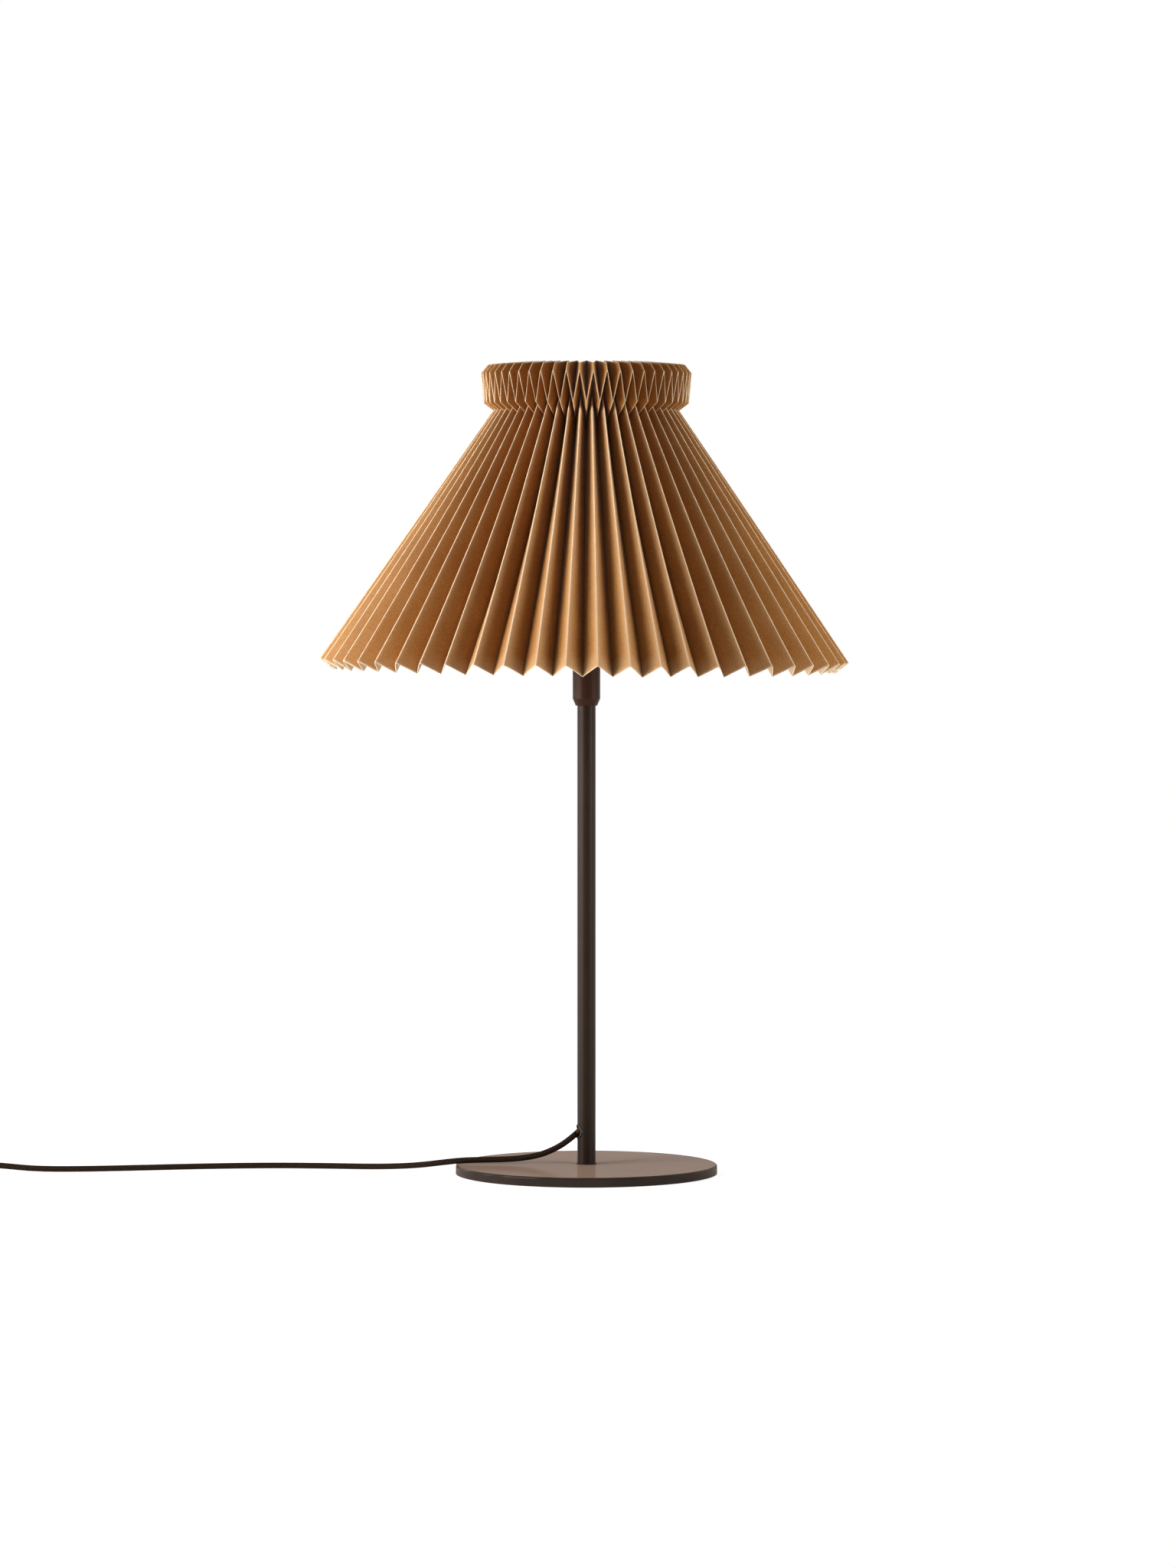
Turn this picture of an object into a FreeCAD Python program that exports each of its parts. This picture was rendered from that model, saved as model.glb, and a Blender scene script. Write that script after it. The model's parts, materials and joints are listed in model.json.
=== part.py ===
import FreeCAD, Part
import math
import os
import Sketcher
from FreeCAD import Placement, Rotation, Vector

# Pleated paper table lamp, millimetres. Origin on the table under the stem, +Z up.
# The viewer stands at -Y, and the cord leaves the stem towards -X.

DRIVING_SIZES = {
    # base
    "base_radius": 114, "base_thickness": 8, "base_edge_round": 1.8,
    "recess_radius": 16, "recess_depth": 5.5,
    "pad_thickness": 0.5, "pad_inset": 2,
    "screw_radius": 5, "screw_length": 17, "screw_head_radius": 8, "screw_head_height": 4,
    "hex_key_width": 6, "hex_key_depth": 2.5, "lock_washer_thickness": 1, "lock_washer_radius": 9,
    # stem
    "stem_radius": 8, "stem_wall": 1.5, "stem_length": 399.5,
    "foot_washer_radius": 9, "foot_washer_thickness": 0.5,
    "foot_bush_length": 18, "top_bush_length": 15, "thread_clearance": 0.1,
    # cord outlet in the stem
    "outlet_height": 28.2, "outlet_azimuth": 17, "outlet_radius": 6.4,
    "grommet_radius": 6, "grommet_bore": 5.3, "grommet_flange_radius": 7,
    "grommet_lip": 0.8, "grommet_flange": 0.7, "grommet_clearance": 0.1,
    # lampholder
    "cup_radius": 12, "cup_foot_radius": 9.4, "cup_bevel_height": 6.1, "cup_height": 38,
    "cup_wall": 1.2, "cup_floor": 1.5, "nipple_radius": 5, "nipple_bore": 3.6,
    "nipple_length": 18.5, "nipple_below": 12, "nut_width": 14, "nut_height": 3,
    "anchor_radius": 6.5, "anchor_height": 4,
    "core_radius": 9.8, "core_height": 13, "lead_radius": 0.9, "lead_spread": 6,
    "terminal_radius": 1.5, "terminal_head_radius": 2.4, "terminal_head_height": 1.6,
    "terminal_depth": 5,
    "sleeve_skirt_radius": 10.6, "sleeve_skirt_depth": 7.5, "sleeve_collar_height": 2,
    "sleeve_thread_radius": 10.4, "sleeve_thread_height": 19, "sleeve_gap": 0.3,
    "shell_radius": 7.6, "shell_wall": 0.4, "shell_height": 20,
    "contact_radius": 2.2, "contact_height": 3.4, "contact_clearance": 1.5,
    "ring_nut_radius": 15, "ring_nut_height": 6, "ring_nut_grooves": 12, "ring_nut_groove": 0.9,
    # shade carrier
    "hub_radius": 15.5, "hub_thickness": 3, "leg_wire_radius": 1.3, "leg_reach": 34,
    "leg_count": 3, "leg_azimuth": 90, "ring_wire_radius": 1.5, "ring_drop": 8,
    "paper_seat_gap": 0.3, "leg_weld_gap": 0.05,
    # bulb
    "bulb_radius": 22.5, "bulb_length": 78, "glass_wall": 0.8,
    "bulb_cap_radius": 6.95, "bulb_cap_height": 24.5, "bulb_tip_radius": 2.4,
    "bulb_tip_height": 1.6, "bulb_tip_inset": 1, "bulb_contact_gap": 0.3, "globe_neck_share": 0.85,
    "thread_rib": 0.35, "thread_ribs": 5, "thread_pitch": 2.8,
    # paper shade: each crease line is a ridge (outer) or a valley (inner) chain of radius, height
    "pleat_count": 54, "pleat_turn": -0.74, "paper_thickness": 0.4,
    "ridge_rim_radius": 230, "ridge_rim_height": 447.7,
    "ridge_neck_radius": 69.8, "ridge_neck_height": 680.5,
    "ridge_collar_radius": 91.3, "ridge_collar_height": 696.7,
    "ridge_top_radius": 85.4, "ridge_top_height": 704.1,
    "valley_rim_radius": 217.6, "valley_rim_height": 438.7,
    "valley_neck_radius": 65.2, "valley_neck_height": 653,
    "valley_collar_radius": 88.9, "valley_collar_height": 670.9,
    "valley_top_radius": 60.7, "valley_top_height": 706.2,
    "turn_in_length": 16, "turn_in_slope": 39.6,
    # cord
    "cord_radius": 2.6, "coil_pitch": 6, "coil_radius": 39.5, "coil_half_turns": 13,
    "coil_x": -642, "coil_y": 46.5, "cord_rest": 0.1,
    # switch on the cord
    "switch_length": 60, "switch_width": 26, "switch_floor_half": 7, "switch_roof_half": 8,
    "switch_wall": 1.6, "switch_corner": 6, "switch_x": -560,
    "rocker_radius": 9.7, "rocker_width": 11.4, "rocker_gap": 0.4, "rocker_pivot": 12,
    "rocker_tilt": 7, "pin_radius": 1, "pin_clearance": 0.05, "ear_width": 2.4,
    # plug
    "plug_length": 38, "plug_width": 35, "plug_height": 13.7, "plug_neck_width": 12,
    "plug_round": 4, "pin_pitch": 18.6, "plug_pin_radius": 2, "plug_pin_length": 19,
    "plug_pin_seat": 6, "relief_length": 22, "relief_radius": 4.6, "plug_tail_x": -604,
}

doc = FreeCAD.newDocument("PleatedTableLamp")
sheet = doc.addObject("Spreadsheet::Sheet", "sizes")
for row, (alias, number) in enumerate(DRIVING_SIZES.items(), start=1):
    sheet.set(f"A{row}", alias)
    sheet.set(f"B{row}", str(number))
    sheet.setAlias(f"B{row}", alias)
doc.recompute()

sub_parts = []


def value(expression):
    """The number that an expression of the sheet's aliases gives now."""
    return float(sheet.evalExpression(expression))


def bind(obj, **expressions):
    """Tie properties to the sheet. Two underscores in a key stand for a dot."""
    for prop, expression in expressions.items():
        obj.setExpression(prop.replace("__", "."), expression)


def keep(obj, label):
    """Name a finished sub-part."""
    obj.Label = label
    sub_parts.append(obj)
    return obj


def primitive(kind, name, turn=None, **expressions):
    """A Part primitive whose sizes and place are bound to the sheet."""
    obj = doc.addObject(kind, name)
    if turn:
        obj.Placement.Rotation = turn
    bind(obj, **expressions)
    return obj


def cut(name, base, *tools):
    """Take each tool from base in turn."""
    for number, tool in enumerate(tools, start=1):
        step = doc.addObject("Part::Cut", f"{name}_cut{number}")
        step.Base, step.Tool = base, tool
        base = step
    return base


def fuse(name, *shapes):
    """Join shapes into one solid."""
    joined = doc.addObject("Part::MultiFuse", f"{name}_fuse")
    joined.Shapes = list(shapes)
    joined.Refine = True
    return joined


def common(name, *shapes):
    """What the shapes share."""
    shared = doc.addObject("Part::MultiCommon", f"{name}_common")
    shared.Shapes = list(shapes)
    return shared


def plane_of(body, role):
    """One of a body's own origin planes."""
    return next(p for p in body.Origin.OriginFeatures if p.Role == role)


def pin_vertex(sketch, line, number, across, along):
    """Fix one sketch vertex to two expressions, which start at the sketch's origin."""
    for axis, on_axis, kind, expression in (
        ("r", -2, "DistanceX", across),
        ("z", -1, "DistanceY", along),
    ):
        if expression == "0":
            sketch.addConstraint(Sketcher.Constraint("PointOnObject", line, 1, on_axis))
            continue
        place = value(expression)
        index = sketch.addConstraint(Sketcher.Constraint(kind, -1, 1, line, 1, place))
        sketch.renameConstraint(index, f"{axis}{number}")
        sketch.setExpression(f"Constraints.{axis}{number}", expression)


def outline(body, name, role, points):
    """A closed sketch of straight lines through points given as pairs of expressions."""
    sketch = body.newObject("Sketcher::SketchObject", name)
    sketch.AttachmentSupport = [(plane_of(body, role), "")]
    sketch.MapMode = "FlatFace"
    places = [Vector(value(a), value(b), 0) for a, b in points]
    for start, end in zip(places, places[1:] + places[:1]):
        sketch.addGeometry(Part.LineSegment(start, end))
    for line in range(len(points)):
        following = (line + 1) % len(points)
        sketch.addConstraint(Sketcher.Constraint("Coincident", line, 2, following, 1))
    for number, (across, along) in enumerate(points):
        pin_vertex(sketch, number, number, across, along)
    return sketch


def turned(label, profile, level="0"):
    """A body of revolution about Z: its profile is a list of (radius, height) expressions."""
    body = doc.addObject("PartDesign::Body", label + "_body")
    sketch = outline(body, label + "_profile", "XZ_Plane", profile)
    spin = body.newObject("PartDesign::Revolution", label + "_spin")
    spin.Profile = sketch
    spin.ReferenceAxis = (sketch, ["V_Axis"])
    spin.Angle = 360
    body.Placement = Placement(Vector(0, 0, value(level)), Rotation())
    bind(body, Placement__Base__z=level)
    return keep(body, label)


def ring_edges(shape, radius, height):
    """The names of a shape's circular edges of one radius at one height."""
    names = []
    for number, edge in enumerate(shape.Edges, start=1):
        curve = edge.Curve
        if isinstance(curve, Part.Circle) and abs(curve.Radius - radius) < 1e-6:
            if abs(curve.Center.z - height) < 1e-6:
                names.append(f"Edge{number}")
    return names


def round_ring(body, radius, height, size):
    """Round a turned body's circular edge: radius, height and size are expressions."""
    doc.recompute()
    base = body.Tip
    fillet = body.newObject("PartDesign::Fillet", body.Name + "_round")
    fillet.Base = (base, ring_edges(base.Shape, value(radius), value(height)))
    bind(fillet, Radius=size)
    body.Tip = fillet


def washer_profile(inner, outer, height):
    """The profile of a flat ring."""
    return [(inner, "0"), (outer, "0"), (outer, height), (inner, height)]


# Levels above the table, as expressions.
PLATE_FOOT = "sizes.pad_thickness"
PLATE_TOP = "(sizes.pad_thickness + sizes.base_thickness)"
STEM_FOOT = f"({PLATE_TOP} + sizes.foot_washer_thickness)"
STEM_TOP = f"({STEM_FOOT} + sizes.stem_length)"
CUP_FLOOR_TOP = f"({STEM_TOP} + sizes.cup_floor)"
CUP_TOP = f"({STEM_TOP} + sizes.cup_height)"
NUT_TOP = f"({CUP_FLOOR_TOP} + sizes.nut_height)"
CORE_TOP = f"({CUP_TOP} - sizes.sleeve_skirt_depth)"
CORE_FOOT = f"({CORE_TOP} - sizes.core_height)"
COLLAR_TOP = f"({CUP_TOP} + sizes.sleeve_collar_height)"
HUB_TOP = f"({COLLAR_TOP} + sizes.hub_thickness)"
BULB_FOOT = f"({CORE_TOP} + sizes.contact_height + sizes.bulb_contact_gap)"
STEM_BORE = "(sizes.stem_radius - sizes.stem_wall)"
THREAD_HOLE = "(sizes.screw_radius + sizes.thread_clearance)"
NIPPLE_HOLE = "(sizes.nipple_radius + sizes.thread_clearance)"
SWITCH_Y = "(sizes.coil_y - sizes.coil_radius)"


def make_base():
    """Steel plate with a screw recess below, the pad under it and the screw that holds the stem."""
    plate = turned(
        "base_plate",
        [
            ("sizes.recess_radius", "0"),
            ("sizes.base_radius", "0"),
            ("sizes.base_radius", "sizes.base_thickness"),
            (THREAD_HOLE, "sizes.base_thickness"),
            (THREAD_HOLE, "sizes.recess_depth"),
            ("sizes.recess_radius", "sizes.recess_depth"),
        ],
        PLATE_FOOT,
    )
    round_ring(plate, "sizes.base_radius", "sizes.base_thickness", "sizes.base_edge_round")
    pad = primitive(
        "Part::Cylinder", "pad", Radius="sizes.base_radius - sizes.pad_inset",
        Height="sizes.pad_thickness",
    )
    keep(pad, "base_pad")
    recess_roof = f"({PLATE_FOOT} + sizes.recess_depth)"
    turned(
        "lock_washer",
        washer_profile(THREAD_HOLE, "sizes.lock_washer_radius", "sizes.lock_washer_thickness"),
        f"{recess_roof} - sizes.lock_washer_thickness",
    )
    head_foot = f"({recess_roof} - sizes.lock_washer_thickness - sizes.screw_head_height)"
    head = primitive(
        "Part::Cylinder", "screw_head", Radius="sizes.screw_head_radius",
        Height="sizes.screw_head_height", Placement__Base__z=head_foot,
    )
    shank = primitive(
        "Part::Cylinder", "screw_shank", Radius="sizes.screw_radius",
        Height="sizes.screw_head_height + sizes.screw_length", Placement__Base__z=head_foot,
    )
    socket = primitive(
        "Part::Prism", "screw_socket", Circumradius="sizes.hex_key_width / sqrt(3)",
        Height="sizes.hex_key_depth", Placement__Base__z=head_foot,
    )
    keep(cut("screw", fuse("screw", head, shank), socket), "base_screw")


def towards_outlet():
    """Turns a cylinder's axis from +Z to the cord outlet's direction."""
    azimuth = 180 + value("sizes.outlet_azimuth")
    return Rotation(Vector(0, 0, 1), azimuth) * Rotation(Vector(0, 1, 0), 90)


OUTLET_LEVEL = f"({STEM_FOOT} + sizes.outlet_height)"


def outlet_cylinder(name, radius, length="2 * sizes.stem_radius"):
    """A cylinder from the stem's axis out through the cord outlet."""
    return primitive(
        "Part::Cylinder", name, towards_outlet(), Radius=radius, Height=length,
        Placement__Base__z=OUTLET_LEVEL,
    )


def stem_shell(name, inner, outer):
    """A tube round the stem's axis at the outlet, for shaping the grommet."""
    reach = "sizes.stem_radius"
    walls = [
        primitive(
            "Part::Cylinder", f"{name}_{side}", Radius=radius, Height=f"4 * {reach}",
            Placement__Base__z=f"{OUTLET_LEVEL} - 2 * {reach}",
        )
        for side, radius in (("outer", outer), ("inner", inner))
    ]
    return cut(name, *walls)


def make_stem():
    """Steel tube with a cord outlet, its grommet, the foot washer and two threaded bushes."""
    turned(
        "foot_washer",
        washer_profile(THREAD_HOLE, "sizes.foot_washer_radius", "sizes.foot_washer_thickness"),
        PLATE_TOP,
    )
    wall = primitive(
        "Part::Cylinder", "stem_outside", Radius="sizes.stem_radius",
        Height="sizes.stem_length", Placement__Base__z=STEM_FOOT,
    )
    bore = primitive(
        "Part::Cylinder", "stem_inside", Radius=STEM_BORE,
        Height="sizes.stem_length", Placement__Base__z=STEM_FOOT,
    )
    keep(cut("stem", wall, bore, outlet_cylinder("stem_outlet", "sizes.outlet_radius")), "stem_tube")

    turned(
        "foot_bush", washer_profile(THREAD_HOLE, STEM_BORE, "sizes.foot_bush_length"), STEM_FOOT
    )
    turned(
        "top_bush", washer_profile(NIPPLE_HOLE, STEM_BORE, "sizes.top_bush_length"),
        f"{STEM_TOP} - sizes.top_bush_length",
    )
    behind_wall = f"({STEM_BORE} - sizes.grommet_clearance)"
    flange_back = f"({behind_wall} - sizes.grommet_flange)"
    lip_front = "(sizes.stem_radius + sizes.grommet_lip)"
    neck = common(
        "grommet_neck", outlet_cylinder("grommet_neck_round", "sizes.grommet_radius"),
        stem_shell("grommet_neck_shell", flange_back, lip_front),
    )
    flange = common(
        "grommet_flange", outlet_cylinder("grommet_flange_round", "sizes.grommet_flange_radius"),
        stem_shell("grommet_flange_shell", flange_back, behind_wall),
    )
    bore = outlet_cylinder("grommet_bore_round", "sizes.grommet_bore")
    keep(cut("grommet", fuse("grommet", neck, flange), bore), "cord_grommet")


def make_holder():
    """Bevelled cup on a hollow nipple, with the lampholder's core, shell, sleeve and ring nut."""
    inside = "(sizes.cup_radius - sizes.cup_wall)"
    foot_inside = "(sizes.cup_foot_radius - sizes.cup_wall)"
    turned(
        "holder_cup",
        [
            (NIPPLE_HOLE, "0"),
            ("sizes.cup_foot_radius", "0"),
            ("sizes.cup_radius", "sizes.cup_bevel_height"),
            ("sizes.cup_radius", "sizes.cup_height"),
            (inside, "sizes.cup_height"),
            (inside, "sizes.cup_bevel_height"),
            (foot_inside, "sizes.cup_floor"),
            (NIPPLE_HOLE, "sizes.cup_floor"),
        ],
        STEM_TOP,
    )
    turned(
        "holder_nipple",
        washer_profile("sizes.nipple_bore", "sizes.nipple_radius", "sizes.nipple_length"),
        f"{STEM_TOP} - sizes.nipple_below",
    )
    nut = primitive(
        "Part::Prism", "nut_hexagon", Circumradius="sizes.nut_width / sqrt(3)",
        Height="sizes.nut_height", Placement__Base__z=CUP_FLOOR_TOP,
    )
    hole = primitive(
        "Part::Cylinder", "nut_hole", Radius=NIPPLE_HOLE, Height="sizes.nut_height",
        Placement__Base__z=CUP_FLOOR_TOP,
    )
    keep(cut("nut", nut, hole), "holder_nut")
    turned(
        "cord_anchor",
        [
            (NIPPLE_HOLE, "0"),
            ("sizes.anchor_radius", "0"),
            ("sizes.anchor_radius", "sizes.anchor_height"),
            ("sizes.cord_radius", "sizes.anchor_height"),
            ("sizes.cord_radius", "sizes.anchor_height / 2"),
            (NIPPLE_HOLE, "sizes.anchor_height / 2"),
        ],
        NUT_TOP,
    )
    make_core()
    collar_foot = "sizes.sleeve_skirt_depth"
    bore = "(sizes.shell_radius + sizes.sleeve_gap)"
    collar_top = f"({collar_foot} + sizes.sleeve_collar_height)"
    thread_top = f"({collar_top} + sizes.sleeve_thread_height)"
    turned(
        "holder_sleeve",
        [
            (bore, "0"),
            ("sizes.sleeve_skirt_radius", "0"),
            ("sizes.sleeve_skirt_radius", collar_foot),
            ("sizes.cup_radius", collar_foot),
            ("sizes.cup_radius", collar_top),
            ("sizes.sleeve_thread_radius", collar_top),
            ("sizes.sleeve_thread_radius", thread_top),
            (bore, thread_top),
        ],
        CORE_TOP,
    )
    make_ring_nut()


def make_core():
    """Insulating core with terminals below, the threaded shell and the centre contact above."""
    core = primitive(
        "Part::Cylinder", "core_block", Radius="sizes.core_radius",
        Height="sizes.core_height", Placement__Base__z=CORE_FOOT,
    )
    holes = [
        primitive(
            "Part::Cylinder", f"core_hole_{side}", Radius="sizes.terminal_radius",
            Height="sizes.terminal_depth", Placement__Base__z=CORE_FOOT,
            Placement__Base__x=f"{sign} * sizes.lead_spread",
        )
        for side, sign in (("left", -1), ("right", 1))
    ]
    keep(cut("core", core, *holes), "holder_core")
    for side, sign in (("left", -1), ("right", 1)):
        shank = primitive(
            "Part::Cylinder", f"terminal_shank_{side}", Radius="sizes.terminal_radius",
            Height="sizes.terminal_depth + sizes.terminal_head_height",
            Placement__Base__z=f"{CORE_FOOT} - sizes.terminal_head_height",
            Placement__Base__x=f"{sign} * sizes.lead_spread",
        )
        head = primitive(
            "Part::Cylinder", f"terminal_head_{side}", Radius="sizes.terminal_head_radius",
            Height="sizes.terminal_head_height",
            Placement__Base__z=f"{CORE_FOOT} - sizes.terminal_head_height",
            Placement__Base__x=f"{sign} * sizes.lead_spread",
        )
        keep(fuse(f"terminal_{side}", shank, head), f"terminal_screw_{side}")
    contact_hole = "(sizes.contact_radius + sizes.contact_clearance)"
    turned(
        "screw_shell",
        [
            (contact_hole, "0"),
            ("sizes.shell_radius", "0"),
            ("sizes.shell_radius", "sizes.shell_height"),
            ("sizes.shell_radius - sizes.shell_wall", "sizes.shell_height"),
            ("sizes.shell_radius - sizes.shell_wall", "sizes.shell_wall"),
            (contact_hole, "sizes.shell_wall"),
        ],
        CORE_TOP,
    )
    turned(
        "centre_contact",
        [
            ("0", "0"),
            ("sizes.contact_radius", "0"),
            ("sizes.contact_radius", "sizes.contact_height / 2"),
            ("sizes.contact_radius / 2", "sizes.contact_height"),
            ("0", "sizes.contact_height"),
        ],
        CORE_TOP,
    )


def make_ring_nut():
    """Grooved ring nut that clamps the shade carrier's hub on the sleeve's collar."""
    body = turned(
        "shade_ring_nut",
        washer_profile(
            "sizes.sleeve_thread_radius + sizes.thread_clearance", "sizes.ring_nut_radius",
            "sizes.ring_nut_height",
        ),
        HUB_TOP,
    )
    groove = outline_circle(
        body, "ring_nut_groove", "XY_Plane", "sizes.ring_nut_radius", "sizes.ring_nut_groove"
    )
    pocket = body.newObject("PartDesign::Pocket", "ring_nut_pocket")
    pocket.Profile = groove
    pocket.Type = "ThroughAll"
    pocket.Midplane = True
    pattern = body.newObject("PartDesign::PolarPattern", "ring_nut_grooves")
    pattern.Originals = [pocket]
    pattern.Axis = (groove, ["N_Axis"])
    pattern.Angle = 360
    bind(pattern, Occurrences="sizes.ring_nut_grooves")
    body.Tip = pattern


def outline_circle(body, name, role, across, radius):
    """A sketch with one circle, its centre on the sketch's X axis."""
    sketch = body.newObject("Sketcher::SketchObject", name)
    sketch.AttachmentSupport = [(plane_of(body, role), "")]
    sketch.MapMode = "FlatFace"
    centre = Vector(value(across), 0, 0)
    sketch.addGeometry(Part.Circle(centre, Vector(0, 0, 1), value(radius)))
    sketch.addConstraint(Sketcher.Constraint("PointOnObject", 0, 3, -1))
    place = sketch.addConstraint(Sketcher.Constraint("DistanceX", -1, 1, 0, 3, centre.x))
    size = sketch.addConstraint(Sketcher.Constraint("Radius", 0, value(radius)))
    sketch.renameConstraint(place, "across")
    sketch.renameConstraint(size, "size")
    sketch.setExpression("Constraints.across", across)
    sketch.setExpression("Constraints.size", radius)
    return sketch


# ---- paper shade ----------------------------------------------------------

CREASES = ("rim", "neck", "collar", "top")


def crease_chain(kind):
    """A ridge or valley line in its own half-plane, as (radius, height) from rim to inner edge."""
    chain = [
        (value(f"sizes.{kind}_{crease}_radius"), value(f"sizes.{kind}_{crease}_height"))
        for crease in CREASES
    ]
    slope = math.radians(value("sizes.turn_in_slope"))
    reach = value("sizes.turn_in_length")
    radius, height = chain[-1]
    chain.append((radius - reach * math.cos(slope), height - reach * math.sin(slope)))
    return chain


def spun(point, azimuth):
    """A (radius, height) point in space at an azimuth in radians."""
    return Vector(point[0] * math.cos(azimuth), point[0] * math.sin(azimuth), point[1])


def panel_normals(own, other, half_pitch):
    """Each panel's normal beside one crease line, which lies at azimuth 0, as (radial, height).

    It points out of the shade. Only the part in the crease line's own half-plane is kept, divided
    by the normal's length, because a skin's points move within that half-plane.
    """
    normals = []
    for (a, b), (c, d) in zip(zip(own, own[1:]), zip(other, other[1:])):
        along = spun(b, 0) - spun(a, 0)
        middle = (spun(c, half_pitch) + spun(d, half_pitch)) * 0.5
        across = middle - (spun(a, 0) + spun(b, 0)) * 0.5
        normal = across.cross(along).normalize()
        normals.append((normal.x, normal.z))
    return normals


def skin_chain(own, other, half_pitch, offset):
    """A crease line moved by offset from the paper's middle, where its panels' skins meet."""
    normals = panel_normals(own, other, half_pitch)
    moved = []
    for number, (radius, height) in enumerate(own):
        before, after = normals[max(number - 1, 0)], normals[min(number, len(normals) - 1)]
        cross = before[0] * after[1] - before[1] * after[0]
        if abs(cross) < 1e-6:  # one panel only: the point moves square to the crease line
            size = before[0] ** 2 + before[1] ** 2
            shift = (offset * before[0] / size, offset * before[1] / size)
        else:
            shift = (
                offset * (after[1] - before[1]) / cross,
                offset * (before[0] - after[0]) / cross,
            )
        moved.append((radius + shift[0], height + shift[1]))
    return moved


def shade_skins():
    """The paper's outer and inner skins, each as its ridge and valley chains."""
    ridge, valley = crease_chain("ridge"), crease_chain("valley")
    half_pitch = math.pi / value("sizes.pleat_count")
    half = value("sizes.paper_thickness") / 2
    return [
        (skin_chain(ridge, valley, half_pitch, side), skin_chain(valley, ridge, half_pitch, side))
        for side in (half, -half)
    ]


def quad(a, b, c, d):
    """A ruled face between the straight edges a-b and d-c."""
    return Part.makeRuledSurface(Part.makeLine(a, b), Part.makeLine(d, c))


def make_shade():
    """One sheet of pleated paper: cone, neck, folded-back collar and turned-in edge."""
    skins = shade_skins()
    count = int(value("sizes.pleat_count"))
    half_pitch = math.pi / count
    turn = math.radians(value("sizes.pleat_turn"))
    faces = []
    for step in range(2 * count):
        here, there = turn + step * half_pitch, turn + (step + 1) * half_pitch
        strips = []
        for ridge, valley in skins:
            chains = (ridge, valley) if step % 2 == 0 else (valley, ridge)
            strips.append([(spun(p, here), spun(q, there)) for p, q in zip(*chains)])
        for strip in strips:
            for (a, d), (b, c) in zip(strip, strip[1:]):
                faces.append(quad(a, b, c, d))
        outer, inner = strips
        for edge in (0, -1):
            (a, b), (d, c) = outer[edge], inner[edge]
            faces.append(quad(a, b, c, d))
    shell = Part.makeShell(faces)
    shell.sewShape()
    solid = Part.makeSolid(shell)
    if solid.Volume < 0:
        solid.reverse()
    paper = doc.addObject("Part::Feature", "paper")
    paper.Shape = solid
    paper.Placement = Placement()
    keep(paper, "paper_shade")


# ---- shade carrier ----------------------------------------------------------

def ring_seat():
    """Centre of the carrier ring's wire, just under the cone's valley folds."""
    inner_valley = shade_skins()[1][1]
    (rim_r, rim_z), (neck_r, neck_z) = inner_valley[0], inner_valley[1]
    length = math.hypot(neck_r - rim_r, neck_z - rim_z)
    down = ((rim_r - neck_r) / length, (rim_z - neck_z) / length)
    inward = (down[1], -down[0])
    drop = value("sizes.ring_drop")
    gap = value("sizes.ring_wire_radius") + value("sizes.paper_seat_gap")
    return (
        neck_r + drop * down[0] + gap * inward[0],
        neck_z + drop * down[1] + gap * inward[1],
    )


def make_carrier():
    """Hub, three bent wire legs and the ring that the shade rests on."""
    turned(
        "carrier_hub",
        washer_profile(
            "sizes.sleeve_thread_radius + sizes.thread_clearance", "sizes.hub_radius",
            "sizes.hub_thickness",
        ),
        COLLAR_TOP,
    )
    radius, height = ring_seat()
    ring = doc.addObject("Part::Torus", "ring")
    ring.Radius1 = radius
    ring.Placement.Base.z = height
    bind(ring, Radius2="sizes.ring_wire_radius")
    keep(ring, "carrier_ring")

    wire = value("sizes.leg_wire_radius")
    foot = value(f"{COLLAR_TOP} + sizes.hub_thickness / 2")
    hub, reach = value("sizes.hub_radius"), value("sizes.leg_reach")
    span = math.hypot(radius - reach, height - foot)
    stop = 1 - (value("sizes.ring_wire_radius") + value("sizes.leg_weld_gap")) / span
    end = (reach + stop * (radius - reach), foot + stop * (height - foot))
    count = int(value("sizes.leg_count"))
    for number in range(count):
        azimuth = math.radians(value("sizes.leg_azimuth")) + number * math.tau / count
        route = [spun(point, azimuth) for point in ((hub, foot), (reach, foot), end)]
        tube(f"carrier_leg_{number + 1}", route, wire, 0.6)


# ---- bulb ----------------------------------------------------------

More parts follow.
